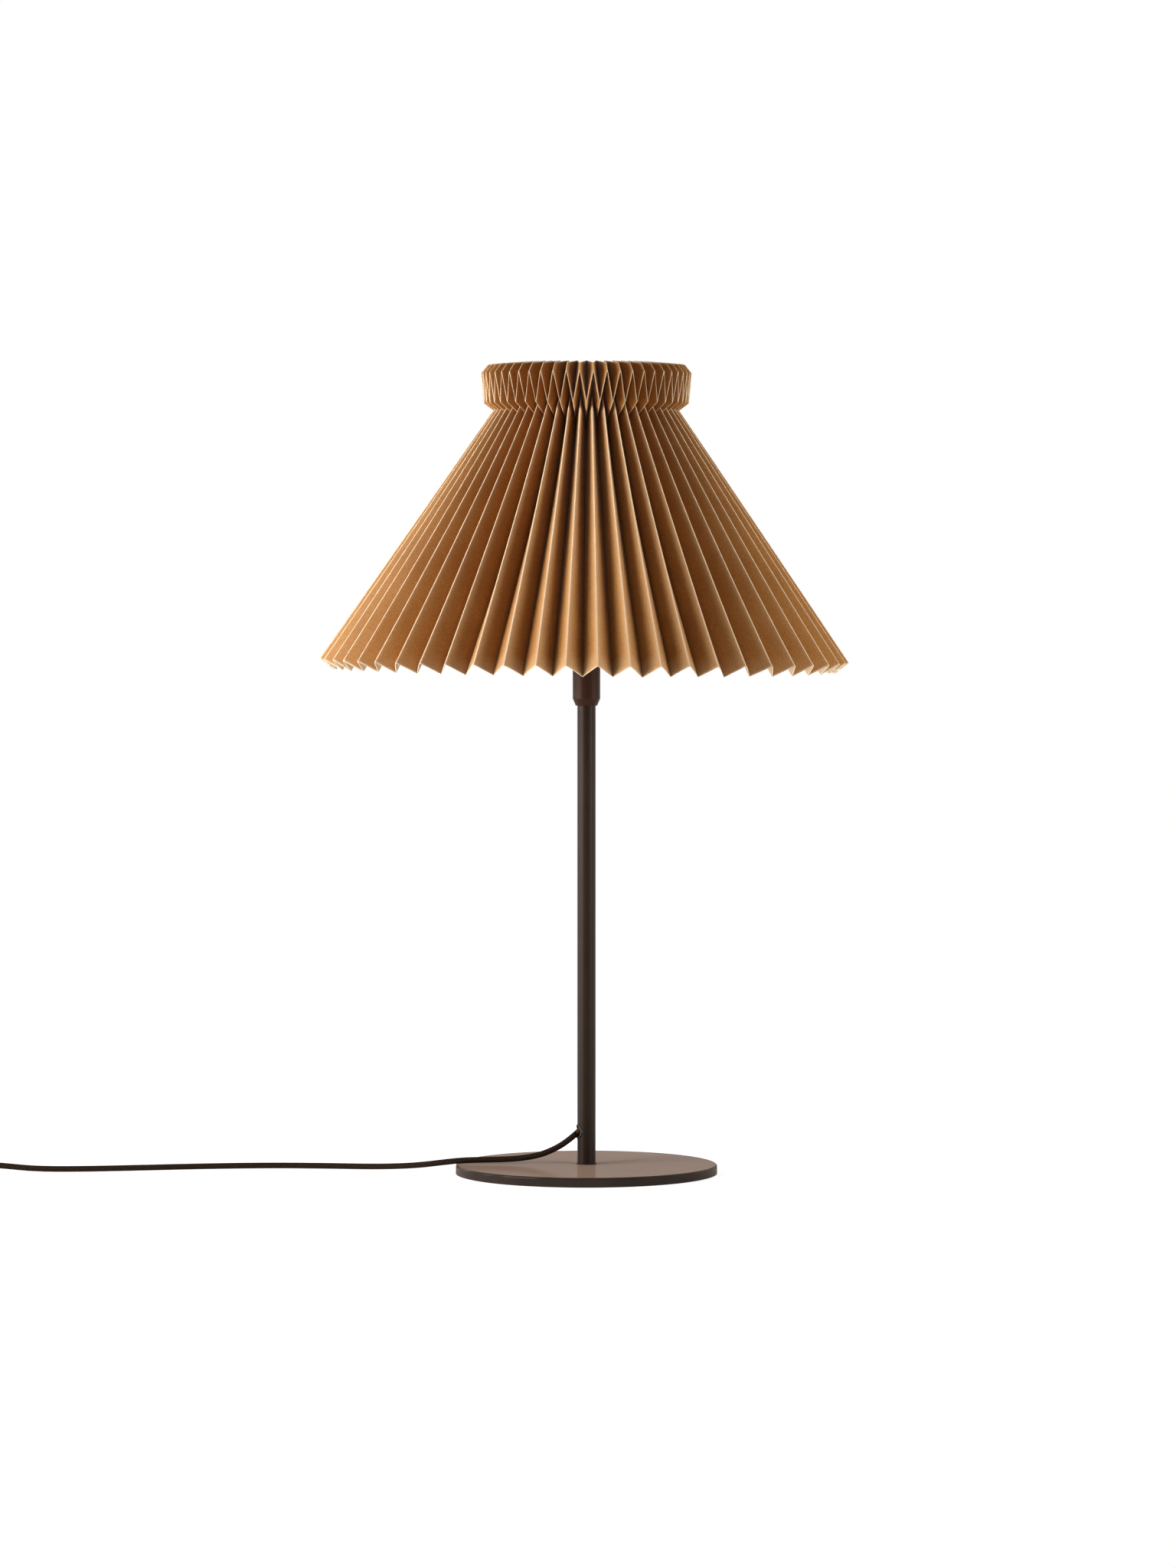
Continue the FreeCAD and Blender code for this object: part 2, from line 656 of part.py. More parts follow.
def make_bulb():
    """Opal globe bulb with its threaded cap and tip contact."""
    tip_top = "sizes.bulb_tip_height"
    cap_top = f"({tip_top} + sizes.bulb_cap_height)"
    centre = "(sizes.bulb_length - sizes.bulb_radius)"
    turned("bulb_contact", washer_profile("0", "sizes.bulb_tip_radius", tip_top), BULB_FOOT)
    thread_root = "(sizes.bulb_cap_radius - sizes.thread_rib)"
    thread = []
    for rib in range(int(value("sizes.thread_ribs"))):
        low = f"sizes.bulb_cap_height / 4 + {rib} * sizes.thread_pitch"
        thread.append((thread_root, low))
        thread.append(("sizes.bulb_cap_radius", f"{low} + sizes.thread_pitch / 2"))
    turned(
        "bulb_cap",
        [("0", "0"), ("sizes.bulb_tip_radius + sizes.bulb_tip_inset", "0")] + thread
        + [(thread_root, "sizes.bulb_cap_height"), ("0", "sizes.bulb_cap_height")],
        f"{BULB_FOOT} + sizes.bulb_tip_height",
    )
    neck_share = "sizes.globe_neck_share"
    ball_drop = f"sizes.bulb_radius * sqrt(1 - {neck_share} * {neck_share})"
    solids = []
    for side, shrink in (("outside", "0"), ("inside", "sizes.glass_wall")):
        ball = primitive(
            "Part::Sphere", f"globe_ball_{side}", Radius=f"sizes.bulb_radius - {shrink}",
            Placement__Base__z=f"{BULB_FOOT} + {centre}",
        )
        neck = primitive(
            "Part::Cone", f"globe_neck_{side}",
            Radius1=f"sizes.bulb_cap_radius - {shrink}",
            Radius2=f"sizes.bulb_radius * {neck_share} - {shrink}",
            Height=f"{centre} - {cap_top} - {ball_drop}",
            Placement__Base__z=f"{BULB_FOOT} + {cap_top}",
        )
        solids.append(fuse(f"globe_{side}", ball, neck))
    keep(cut("globe", *solids), "bulb_globe")


# ---- cord ----------------------------------------------------------

def rounded_path(points, share):
    """Straight runs joined by tangent arcs, each as large as share of its shorter run allows."""
    edges, radii, start = [], [], points[0]
    for before, corner, after in zip(points, points[1:], points[2:]):
        into = (corner - before).normalize()
        out = (after - corner).normalize()
        half_turn = into.getAngle(out) / 2
        back = share * min((corner - before).Length, (after - corner).Length)
        radius = back / math.tan(half_turn)
        first, last = corner - into * back, corner + out * back
        inward = (out - into).normalize()
        middle = corner + inward * (radius / math.cos(half_turn) - radius)
        edges += [Part.LineSegment(start, first).toShape(), Part.Arc(first, middle, last).toShape()]
        radii.append(radius)
        start = last
    edges.append(Part.LineSegment(start, points[-1]).toShape())
    return Part.Wire(edges), radii


def swept(path, start, direction, radius):
    """A round solid along a path."""
    ring = Part.Wire(Part.Circle(start, direction, radius).toShape())
    return path.makePipeShell([ring], True, False)


def report_tube(label, solid, path, radius, tightest):
    """Print a tube's length and least radius, and how its volume compares."""
    wanted = math.pi * radius**2 * path.Length
    print(f"{label}: {path.Length:.1f} mm long, tightest radius {tightest:.1f} mm,"
          f" volume {solid.Volume / wanted:.4f} of section times length")


def tube(label, route, radius, share=0.45):
    """A round wire or cord along a route of corner points."""
    path, radii = rounded_path(route, share)
    solid = swept(path, route[0], route[1] - route[0], radius)
    report_tube(label, solid, path, radius, min(radii))
    feature = doc.addObject("Part::Feature", label + "_tube")
    feature.Shape = solid
    feature.Placement = Placement()
    return keep(feature, label)


def make_cord():
    """Cord inside the stem, its free stretches, its coil and its two conductors."""
    radius = value("sizes.cord_radius")
    floor = radius + value("sizes.cord_rest")
    axle = value("sizes.switch_floor_half")
    outlet = value(OUTLET_LEVEL)
    anchor = value(f"{NUT_TOP} + sizes.anchor_height")
    outside = Vector(-8.4, -2.5, outlet - 1.4)
    first_corner = Vector(-15.2, -2.9, 29.8)
    way_in = (outside - first_corner).normalize()
    tube("cord_in_stem", [
        Vector(0, 0, anchor),
        Vector(0, 0, anchor - 60),
        Vector(0.8, -0.2, outlet + 90),
        Vector(2.6, -0.8, outlet + 32),
        Vector(2.3, -1.3, outlet + 16),
        outside + way_in * 10.5,
        outside,
    ], radius)
    switch_y = value(SWITCH_Y)
    switch_near = value("sizes.switch_x + sizes.switch_length / 2")
    switch_far = value("sizes.switch_x - sizes.switch_length / 2")
    tube("cord_run", [
        outside,
        first_corner,
        Vector(-26, -2.6, 22.6),
        Vector(-42, -2, 15.9),
        Vector(-63, -1, 12.9),
        Vector(-86, -2, 12.4),
        Vector(-107, -2.5, 12.1),
        Vector(-125, -0.5, 10),
        Vector(-144, 6, 7),
        Vector(-166, 17, 4.6),
        Vector(-192, 29, floor + 0.4),
        Vector(-228, 39, floor),
        Vector(-275, 43, floor),
        Vector(-330, 37, floor),
        Vector(-388, 24, floor),
        Vector(-440, 13, floor),
        Vector(-480, 8.5, floor + 0.5),
        Vector(-506, switch_y + 0.2, axle - 1.2),
        Vector(switch_near + 10, switch_y, axle),
        Vector(switch_near, switch_y, axle),
    ], radius)
    coil_start = Vector(value("sizes.coil_x"), switch_y, floor)
    stub = Vector(2 * radius, 0, 0)
    straight = Vector(10, 0, 0)
    lead_start = Vector(switch_far, switch_y, axle)
    tube("cord_lead", [
        lead_start, lead_start - straight, coil_start + stub + straight * 1.2, coil_start + stub,
    ], radius)
    make_coil(coil_start, stub)
    tail = coil_start + stub + Vector(0, 2 * value("sizes.coil_radius"), value("sizes.coil_pitch"))
    plug_end = Vector(value("sizes.plug_tail_x"), tail.y, value("sizes.plug_height / 2"))
    tube("cord_tail", [
        tail, tail + straight * 0.9, plug_end - straight * 0.9, plug_end,
    ], radius)
    lead_top = value(f"{CORE_FOOT} - sizes.terminal_head_height")
    lead = value("sizes.lead_radius")
    spread = value("sizes.lead_spread")
    upright = 0.3 * (lead_top - anchor)
    for side, sign in (("left", -1), ("right", 1)):
        near = sign * radius / 2
        tube(f"conductor_{side}", [
            Vector(near, 0, anchor),
            Vector(near, 0, anchor + upright),
            Vector(sign * spread, 0, lead_top - upright),
            Vector(sign * spread, 0, lead_top),
        ], lead)


def biarc(start, start_way, end, end_way):
    """Two arcs from start to end, tangent to each other and to the two directions."""
    chord, ways = end - start, start_way + end_way
    bend = 2 * (1 - start_way.dot(end_way))
    reach = (math.sqrt(chord.dot(ways) ** 2 + bend * chord.dot(chord)) - chord.dot(ways)) / bend
    joint = (start + start_way * reach + end - end_way * reach) * 0.5
    first_corner, last_corner = start + start_way * reach, end - end_way * reach
    return [
        Part.Arc(start, arc_middle(start, first_corner, joint), joint).toShape(),
        Part.Arc(joint, arc_middle(joint, last_corner, end), end).toShape(),
    ]


def arc_middle(start, corner, end):
    """The middle point of the arc that is tangent at start and end to the lines to corner."""
    chord_middle = (start + end) * 0.5
    half = (end - start).Length / 2
    rise = corner - chord_middle
    sagitta = half * math.tan(math.atan2(rise.Length, half) / 2)
    return chord_middle + rise.normalize() * sagitta


def make_coil(start, stub):
    """The cord's put-away length: a spiral in, a climb, and a spiral out on top."""
    floor = start.z
    pitch = value("sizes.coil_pitch")
    outer = value("sizes.coil_radius")
    halves = int(value("sizes.coil_half_turns"))
    radius = value("sizes.cord_radius")
    centre = Vector(value("sizes.coil_x"), value("sizes.coil_y"), 0)

    def place(half_turns):
        inward = min(half_turns, halves - half_turns)
        size = outer - pitch * inward / 2
        angle = -math.pi / 2 - math.pi * half_turns
        level = floor if half_turns < halves / 2 else floor + pitch
        return centre + Vector(size * math.cos(angle), size * math.sin(angle), level)

    def way(half_turns):
        angle = -math.pi / 2 - math.pi * half_turns
        size = outer - pitch * min(half_turns, halves - half_turns) / 2
        drift = -pitch / math.tau if half_turns < halves / 2 else pitch / math.tau
        if half_turns in (0, halves):
            drift = 0
        around = Vector(math.sin(angle), -math.cos(angle), 0) * size
        outward = Vector(math.cos(angle), math.sin(angle), 0) * drift
        return (around + outward).normalize()

    edges = [Part.LineSegment(start + stub, start).toShape()]
    for half in range(halves):
        edges += biarc(place(half), way(half), place(half + 1), way(half + 1))
    end = place(halves)
    edges.append(Part.LineSegment(end, end + stub).toShape())
    path = Part.Wire(edges)
    solid = swept(path, start + stub, Vector(-1, 0, 0), radius)
    arcs = [edge.Curve.Radius for edge in edges[1:-1]]
    report_tube("cord_coil", solid, path, radius, min(arcs))
    print(f"cord_coil: least gap between turns {least_gap(path, radius):.2f} mm")
    feature = doc.addObject("Part::Feature", "coil_tube")
    feature.Shape = solid
    feature.Placement = Placement()
    keep(feature, "cord_coil")


def least_gap(path, radius):
    """The least space between two stretches of a wound tube, measured on points."""
    step = radius / 2
    points = path.discretize(Distance=step)
    apart = int(8 * radius / step)
    nearest = min(
        (p - q).Length for i, p in enumerate(points) for q in points[i + apart:]
    )
    return nearest - 2 * radius


# ---- switch on the cord ----------------------------------------------------------

def switch_block(name, length, width, low, high, x="0", y="0"):
    """A block centred on the switch, from one height to another."""
    return primitive(
        "Part::Box", name, Length=length, Width=width, Height=f"{high} - {low}",
        Placement__Base__x=f"sizes.switch_x + {x} - ({length}) / 2",
        Placement__Base__y=f"{SWITCH_Y} + {y} - ({width}) / 2",
        Placement__Base__z=low,
    )


def upright_edges(shape):
    """The numbers of a shape's vertical edges."""
    numbers = []
    for number, edge in enumerate(shape.Edges, start=1):
        ends = [v.Point for v in edge.Vertexes]
        if len(ends) == 2 and abs(ends[0].x - ends[1].x) + abs(ends[0].y - ends[1].y) < 1e-6:
            numbers.append(number)
    return numbers


def round_upright(block, name, radius):
    """Round a block's four upright edges."""
    doc.recompute()
    fillet = doc.addObject("Part::Fillet", name)
    fillet.Base = block
    size = value(radius)
    fillet.Edges = [(number, size, size) for number in upright_edges(block.Shape)]
    return fillet


def make_switch():
    """Inline switch: two housing halves, contacts, rocker and the pin it turns on."""
    inner_length = "sizes.switch_length - 2 * sizes.switch_wall"
    inner_width = "sizes.switch_width - 2 * sizes.switch_wall"
    parting = "sizes.switch_floor_half"
    roof = "(sizes.switch_floor_half + sizes.switch_roof_half)"
    for label, low, high, hollow_low, hollow_high in (
        ("switch_floor", "0", parting, "sizes.switch_wall", parting),
        ("switch_cover", parting, roof, parting, f"({roof} - sizes.switch_wall)"),
    ):
        block = switch_block(
            label + "_block", "sizes.switch_length", "sizes.switch_width", low, high
        )
        body = round_upright(block, label + "_round", "sizes.switch_corner")
        room = round_upright(
            switch_block(label + "_room", inner_length, inner_width, hollow_low, hollow_high),
            label + "_room_round", "sizes.switch_corner - sizes.switch_wall",
        )
        if label == "switch_floor":
            keep(cut(label, body, room), label)
            continue
        window = switch_block(
            "switch_window", "2 * sizes.rocker_radius + 2 * sizes.rocker_gap",
            "sizes.rocker_width + 2 * sizes.rocker_gap", parting, roof,
        )
        ears = [
            switch_block(
                f"switch_ear_{side}", "6 * sizes.pin_radius", "sizes.ear_width",
                f"(sizes.rocker_pivot - 3 * sizes.pin_radius)", f"({roof} - sizes.switch_wall)",
                y=f"{sign} * (sizes.rocker_width + 2 * sizes.rocker_gap + sizes.ear_width) / 2",
            )
            for side, sign in (("front", -1), ("back", 1))
        ]
        hollow = cut("switch_cover_hollow", body, room, window)
        keep(cut("switch_cover", fuse("switch_cover", hollow, *ears),
                 pin_cylinder("switch_pin_hole", "sizes.pin_radius")), label)
    keep(pin_cylinder("switch_pin", "sizes.pin_radius"), "rocker_pin")
    for side, sign in (("front", -1), ("back", 1)):
        strip = switch_block(
            f"switch_strip_{side}", "sizes.switch_length / 2", "sizes.ear_width",
            "sizes.switch_wall", "(sizes.switch_wall + sizes.pin_radius)",
            y=f"{sign} * sizes.switch_width / 5",
        )
        keep(strip, f"switch_contact_{side}")
    make_rocker()


def pin_cylinder(name, radius):
    """A cylinder along the rocker's hinge line, as long as the two ears reach."""
    length = "(sizes.rocker_width + 2 * sizes.rocker_gap + 2 * sizes.ear_width)"
    return primitive(
        "Part::Cylinder", name, Rotation(Vector(1, 0, 0), -90), Radius=radius, Height=length,
        Placement__Base__x="sizes.switch_x", Placement__Base__y=f"{SWITCH_Y} - {length} / 2",
        Placement__Base__z="sizes.rocker_pivot",
    )


def make_rocker():
    """Rocker: a drum's slice with a shallow dished top, tilted to its off side."""
    body = doc.addObject("PartDesign::Body", "rocker_body")
    radius = "sizes.rocker_radius"
    dish = f"({radius} * tan(sizes.rocker_tilt * 1 deg))"
    top = "(sizes.switch_floor_half + sizes.switch_roof_half - sizes.rocker_pivot)"
    sketch = outline(body, "rocker_profile", "XZ_Plane", [
        (f"-{radius}", "-2 * sizes.pin_radius"),
        (radius, "-2 * sizes.pin_radius"),
        (radius, f"{top} + {dish}"),
        ("0", top),
        (f"-{radius}", f"{top} + {dish}"),
    ])
    pad = body.newObject("PartDesign::Pad", "rocker_pad")
    pad.Profile = sketch
    pad.Midplane = True
    bind(pad, Length="sizes.rocker_width")
    drum = primitive(
        "Part::Cylinder", "rocker_drum", Rotation(Vector(1, 0, 0), -90), Radius=radius,
        Height="sizes.rocker_width", Placement__Base__y="-sizes.rocker_width / 2",
    )
    bore = primitive(
        "Part::Cylinder", "rocker_bore", Rotation(Vector(1, 0, 0), -90),
        Radius="sizes.pin_radius + sizes.pin_clearance",
        Height="sizes.rocker_width", Placement__Base__y="-sizes.rocker_width / 2",
    )
    rocker = cut("rocker", common("rocker", body, drum), bore)
    rocker.Placement = Placement(Vector(), Rotation(Vector(0, 1, 0), -value("sizes.rocker_tilt")))
    bind(rocker, Placement__Base__x="sizes.switch_x", Placement__Base__y=SWITCH_Y,
         Placement__Base__z="sizes.rocker_pivot")
    keep(rocker, "switch_rocker")


# ---- plug ----------------------------------------------------------

def rounded_rectangle(width, height, corner, x, centre):
    """A closed wire in a plane of constant x."""
    across, up = width / 2 - corner, height / 2 - corner
    points, middles = [], []
    for quarter, (sy, sz) in enumerate(((1, 1), (-1, 1), (-1, -1), (1, -1))):
        hub = centre + Vector(x, sy * across, sz * up)
        spokes = [
            Vector(0, math.cos(a), math.sin(a)) * corner
            for a in (quarter * math.pi / 2 + part * math.pi / 4 for part in range(3))
        ]
        points.append((hub + spokes[0], hub + spokes[2]))
        middles.append(hub + spokes[1])
    edges = []
    for number, ((first, last), middle) in enumerate(zip(points, middles)):
        edges.append(Part.Arc(first, middle, last).toShape())
        edges.append(Part.LineSegment(last, points[(number + 1) % 4][0]).toShape())
    return Part.Wire(edges)


def make_plug():
    """Flat two-pin plug with its tapered strain relief."""
    tail_x = value("sizes.plug_tail_x")
    centre = Vector(0, value("sizes.coil_y + sizes.coil_radius"), value("sizes.plug_height / 2"))
    relief = value("sizes.relief_length")
    neck_x = tail_x + relief
    face_x = neck_x + value("sizes.plug_length")
    corner = value("sizes.plug_round")
    height = value("sizes.plug_height")
    neck = value("sizes.plug_neck_width")
    shoulder = neck_x + value("sizes.plug_length") / 2
    sections = [
        rounded_rectangle(neck, neck, corner, neck_x, centre),
        rounded_rectangle(value("sizes.plug_width"), height, corner, shoulder, centre),
        rounded_rectangle(value("sizes.plug_width"), height, corner, face_x, centre),
    ]
    body = Part.makeLoft(sections, True, True)
    seat = value("sizes.plug_pin_seat")
    along = Rotation(Vector(0, 1, 0), 90)
    for side in (-1, 1):
        start = centre + Vector(face_x - seat, side * value("sizes.pin_pitch") / 2, 0)
        pin = Part.makeCylinder(
            value("sizes.plug_pin_radius"), seat + value("sizes.plug_pin_length"), start,
            Vector(1, 0, 0),
        )
        body = body.cut(pin)
    plug = doc.addObject("Part::Feature", "plug")
    plug.Shape = body
    plug.Placement = Placement()
    keep(plug, "plug_body")
    for name, side in (("front", -1), ("back", 1)):
        pin = primitive(
            "Part::Cylinder", f"pin_{name}", along, Radius="sizes.plug_pin_radius",
            Height="sizes.plug_pin_seat + sizes.plug_pin_length",
            Placement__Base__x="sizes.plug_tail_x + sizes.relief_length + sizes.plug_length"
            " - sizes.plug_pin_seat",
            Placement__Base__y=f"sizes.coil_y + sizes.coil_radius + {side} * sizes.pin_pitch / 2",
            Placement__Base__z="sizes.plug_height / 2",
        )
        keep(pin, f"plug_pin_{name}")
    cone = primitive(
        "Part::Cone", "relief", along, Radius1="sizes.cord_radius + 0.8",
        Radius2="sizes.relief_radius", Height="sizes.relief_length",
        Placement__Base__x="sizes.plug_tail_x",
        Placement__Base__y="sizes.coil_y + sizes.coil_radius",
        Placement__Base__z="sizes.plug_height / 2",
    )
    keep(cone, "plug_relief")


make_base()
make_stem()
make_holder()
make_shade()
make_carrier()
make_bulb()
make_cord()
make_switch()
make_plug()
doc.recompute()

for obj in doc.Objects:
    if "Invalid" in obj.State or "Error" in obj.State:
        raise RuntimeError(f"{obj.Label} failed: {obj.State}")
for part in sub_parts:
    if part.Shape.isNull() or not part.Shape.isValid():
        raise RuntimeError(f"{part.Label} has no valid shape")

os.makedirs("parts", exist_ok=True)
for part in sub_parts:
    part.Shape.exportStep(f"parts/{part.Label}.step")
    print(f"{part.Label}: {part.Shape.Volume / 1000:.3f} cm3, {len(part.Shape.Solids)} solid(s)")
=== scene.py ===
import json
import math
import random

import bpy
import numpy as np
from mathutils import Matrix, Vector


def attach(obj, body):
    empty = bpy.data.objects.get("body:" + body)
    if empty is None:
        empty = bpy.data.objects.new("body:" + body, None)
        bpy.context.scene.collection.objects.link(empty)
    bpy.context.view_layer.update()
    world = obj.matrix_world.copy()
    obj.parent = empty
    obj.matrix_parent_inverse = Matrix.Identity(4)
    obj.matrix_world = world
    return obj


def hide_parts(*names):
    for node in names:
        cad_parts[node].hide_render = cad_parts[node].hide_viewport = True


# Looks of the pleated paper table lamp. Lengths are in metres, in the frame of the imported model:
# +Z is up, the viewer stands at -Y, and the cord leaves the stem towards -X.

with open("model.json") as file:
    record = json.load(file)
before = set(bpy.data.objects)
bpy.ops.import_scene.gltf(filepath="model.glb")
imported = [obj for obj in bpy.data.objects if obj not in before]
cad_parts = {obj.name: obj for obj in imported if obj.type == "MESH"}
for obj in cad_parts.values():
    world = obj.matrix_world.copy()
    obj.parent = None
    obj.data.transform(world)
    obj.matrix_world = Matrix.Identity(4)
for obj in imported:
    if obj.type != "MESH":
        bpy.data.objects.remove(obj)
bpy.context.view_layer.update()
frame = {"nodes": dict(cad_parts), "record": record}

# ---- shader helpers ----------------------------------------------------------

# Ranges of a noise: nearly all of it, most of it, and its lower part.
NOISE_SPREAD = (0.3, 0.7)
NOISE_MIDDLE = (0.35, 0.65)
NOISE_LOWER = (0.3, 0.6)


def opaque(colour):
    """A colour with its alpha. A socket stays as it is."""
    return colour if isinstance(colour, bpy.types.NodeSocket) else (*colour, 1)


def start_material(name, colour, roughness, sockets=None):
    """A Principled material, with the settings of further sockets by their names."""
    material = bpy.data.materials.new(name)
    material.use_nodes = True
    shader = material.node_tree.nodes["Principled BSDF"]
    settings = {"Base Color": opaque(colour), "Roughness": roughness, **(sockets or {})}
    for socket, setting in settings.items():
        shader.inputs[socket].default_value = setting
    return material, material.node_tree, shader


def add_node(tree, kind, links=None, **settings):
    """A node. links joins its inputs, by name or number, to sockets or sets them to numbers."""
    node = tree.nodes.new(kind)
    for key, setting in settings.items():
        setattr(node, key, setting)
    for key, source in (links or {}).items():
        if isinstance(source, bpy.types.NodeSocket):
            tree.links.new(source, node.inputs[key])
        else:
            node.inputs[key].default_value = source
    return node


def place_of(tree):
    """The surface point in the object's own frame."""
    return add_node(tree, "ShaderNodeTexCoord").outputs["Object"]


def attribute(tree, name, output="Fac"):
    """An attribute of the mesh."""
    return add_node(tree, "ShaderNodeAttribute", attribute_name=name).outputs[output]


def stretched(tree, vector, scale):
    """A point scaled along X, Y and Z."""
    return add_node(tree, "ShaderNodeMapping", {"Vector": vector, "Scale": scale}).outputs["Vector"]


def noise(tree, vector, scale, detail=2.0, roughness=0.5):
    """Noise from 0 to 1, its scale in cells for each metre."""
    links = {"Vector": vector, "Scale": scale, "Detail": detail, "Roughness": roughness}
    return add_node(tree, "ShaderNodeTexNoise", links).outputs["Fac"]


def span(tree, number, low, high, new_low=0.0, new_high=1.0):
    """A number mapped from one range to another and kept in it."""
    links = {0: number, 1: low, 2: high, 3: new_low, 4: new_high}
    return add_node(tree, "ShaderNodeMapRange", links).outputs[0]


def calculate(tree, operation, *numbers):
    """One Math node."""
    links = dict(enumerate(numbers))
    return add_node(tree, "ShaderNodeMath", links, operation=operation).outputs[0]


def blended(tree, share, a, b):
    """Colour a turning into colour b as share goes from 0 to 1."""
    links = {0: share, 6: opaque(a), 7: opaque(b)}
    return add_node(tree, "ShaderNodeMix", links, data_type="RGBA").outputs[2]


def tinted(tree, colour, share, darker, lighter):
    """A colour that goes from darker to lighter times itself as share goes from 0 to 1."""
    low, high = ([channel * side for channel in colour] for side in (darker, lighter))
    return blended(tree, share, low, high)


def paint_surface(tree, shader, colour):
    """Give the shader its colour."""
    tree.links.new(colour, shader.inputs["Base Color"])


def vary_roughness(tree, shader, share, low, high):
    """Roughness that goes from low to high along with a noise."""
    tree.links.new(span(tree, share, *NOISE_SPREAD, low, high), shader.inputs["Roughness"])


def raise_surface(tree, shader, height, distance, strength=1.0, edge_radius=None):
    """Bump from a height of 0 to 1 that stands for distance, over edges softened by a radius."""
    links = {"Height": height, "Distance": distance, "Strength": strength}
    if edge_radius:
        bevel = add_node(tree, "ShaderNodeBevel", {"Radius": edge_radius})
        links["Normal"] = bevel.outputs["Normal"]
    bump = add_node(tree, "ShaderNodeBump", links)
    tree.links.new(bump.outputs["Normal"], shader.inputs["Normal"])


# ---- materials ----------------------------------------------------------

COAT_BROWN = (0.014, 0.0085, 0.006)
# the stem's coat with painted warm light from the shade
CUP_BOUNCE_BROWN = (0.027, 0.0088, 0.004)
BASE_BROWN = (0.027, 0.0185, 0.014)
COAT_GLOSS = (1.0, 0.72, 0.58)      # tint of the coat's reflections
COAT_SHEEN = (0.80, 0.52, 0.38)     # and of its sheen
COAT_PEBBLE = 0.00006   # height of the coat's fine skin
DUST_COLOUR = (0.5, 0.45, 0.4)
DUST_CELLS = 240.0      # for each metre
DUST_RADIUS = 0.08      # of a speck, in cells

PAPER_BROWN = (0.475, 0.212, 0.056)
PAPER_DEEP = (0.375, 0.150, 0.032)
PAPER_FIBRE = (0.56, 0.33, 0.15)
PAPER_SPECKLE = (0.20, 0.075, 0.014)
# painted shade in the inward folds and at the neck
PAPER_SHADE_BROWN = (0.13, 0.045, 0.008)
PAPER_LIT_GOLD = (0.86, 0.63, 0.38)     # painted highlight beside outward folds, and painted light on the sides and inside
PAPER_PALE = (0.97, 0.87, 0.66)     # worn folds and cut edges
PAPER_SHEEN = (1, 0.88, 0.70)       # tint
PAPER_TOOTH = 0.00005   # height of the paper's grain
PAPER_TONES = (0.36, 0.64)  # range of the mottling, from deep brown to brown
FIBRE_STRETCH = (1, 1, 0.22)
FIBRE_RANGE = (0.66, 0.78)  # of a noise, from no fibre to a whole one
FIBRE_SHARE = 0.35      # how much a fibre shows of its own colour
SPECKLE_SHARE = 0.5     # the same for the darkest speckle
SHADE_STRENGTH = 0.5       # and for the painted shade in the deepest fold
WEAR_LEAST = 0.7        # how much of a worn line shows where it is patchy

CORD_DARK = (0.010, 0.0055, 0.003)
CORD_LIGHT = (0.075, 0.036, 0.016)
BRAID_STRANDS = 12      # strands each way round the cord
BRAID_LEAD = 0.0165     # length along the cord for one turn of a strand
BRAID_HEIGHT = 0.00018
BRAID_GROOVE_SHADE = (0.1, 0.9)     # range of a strand's height, from its edge with painted shade to its crown
FUZZ_HEIGHT = 0.25      # of the strands' height

OPAL_WHITE = (0.62, 0.60, 0.56)
MOULD_GRAIN = 0.00004   # height of moulded plastic's grain
METAL_MARKS = 0.00002   # height of turning marks
FOAM_CELLS = 1400.0     # for each metre
FOAM_DEPTH = 0.0001
MOULDED_EDGE = 0.0004   # radius that moulded edges are softened by
METAL_EDGE = 0.0003


def powder_coat(name, colour, roughness, gloss, sheen, clear=0.0, dusty=0.0):
    """Satin powder coat with a fine skin and faint mottling.

    clear is the weight of a clear layer on it, and dusty the share of cells with a pale speck.
    """
    material, tree, shader = start_material(name, colour, roughness, {
        "Specular IOR Level": gloss,
        "Specular Tint": opaque(COAT_GLOSS),
        "Sheen Weight": sheen,
        "Sheen Roughness": 0.35,
        "Sheen Tint": opaque(COAT_SHEEN),
        "Coat Weight": clear,
        "Coat Roughness": 0.14,
    })
    place = place_of(tree)
    mottle = noise(tree, place, scale=35, detail=3)
    paint = tinted(tree, colour, span(tree, mottle, *NOISE_MIDDLE), darker=0.9, lighter=1.1)
    if dusty:
        cells = add_node(tree, "ShaderNodeTexVoronoi", {"Vector": place, "Scale": DUST_CELLS})
        drawn = add_node(tree, "ShaderNodeSeparateColor", {0: cells.outputs["Color"]}).outputs[0]
        chosen = calculate(tree, "GREATER_THAN", drawn, 1 - dusty)
        inside = calculate(tree, "LESS_THAN", cells.outputs["Distance"], DUST_RADIUS)
        paint = blended(tree, calculate(tree, "MULTIPLY", chosen, inside), paint, DUST_COLOUR)
    paint_surface(tree, shader, paint)
    vary_roughness(tree, shader, mottle, roughness - 0.04, roughness + 0.04)
    raise_surface(tree, shader, noise(tree, place, scale=1600), COAT_PEBBLE, strength=0.5)
    return material


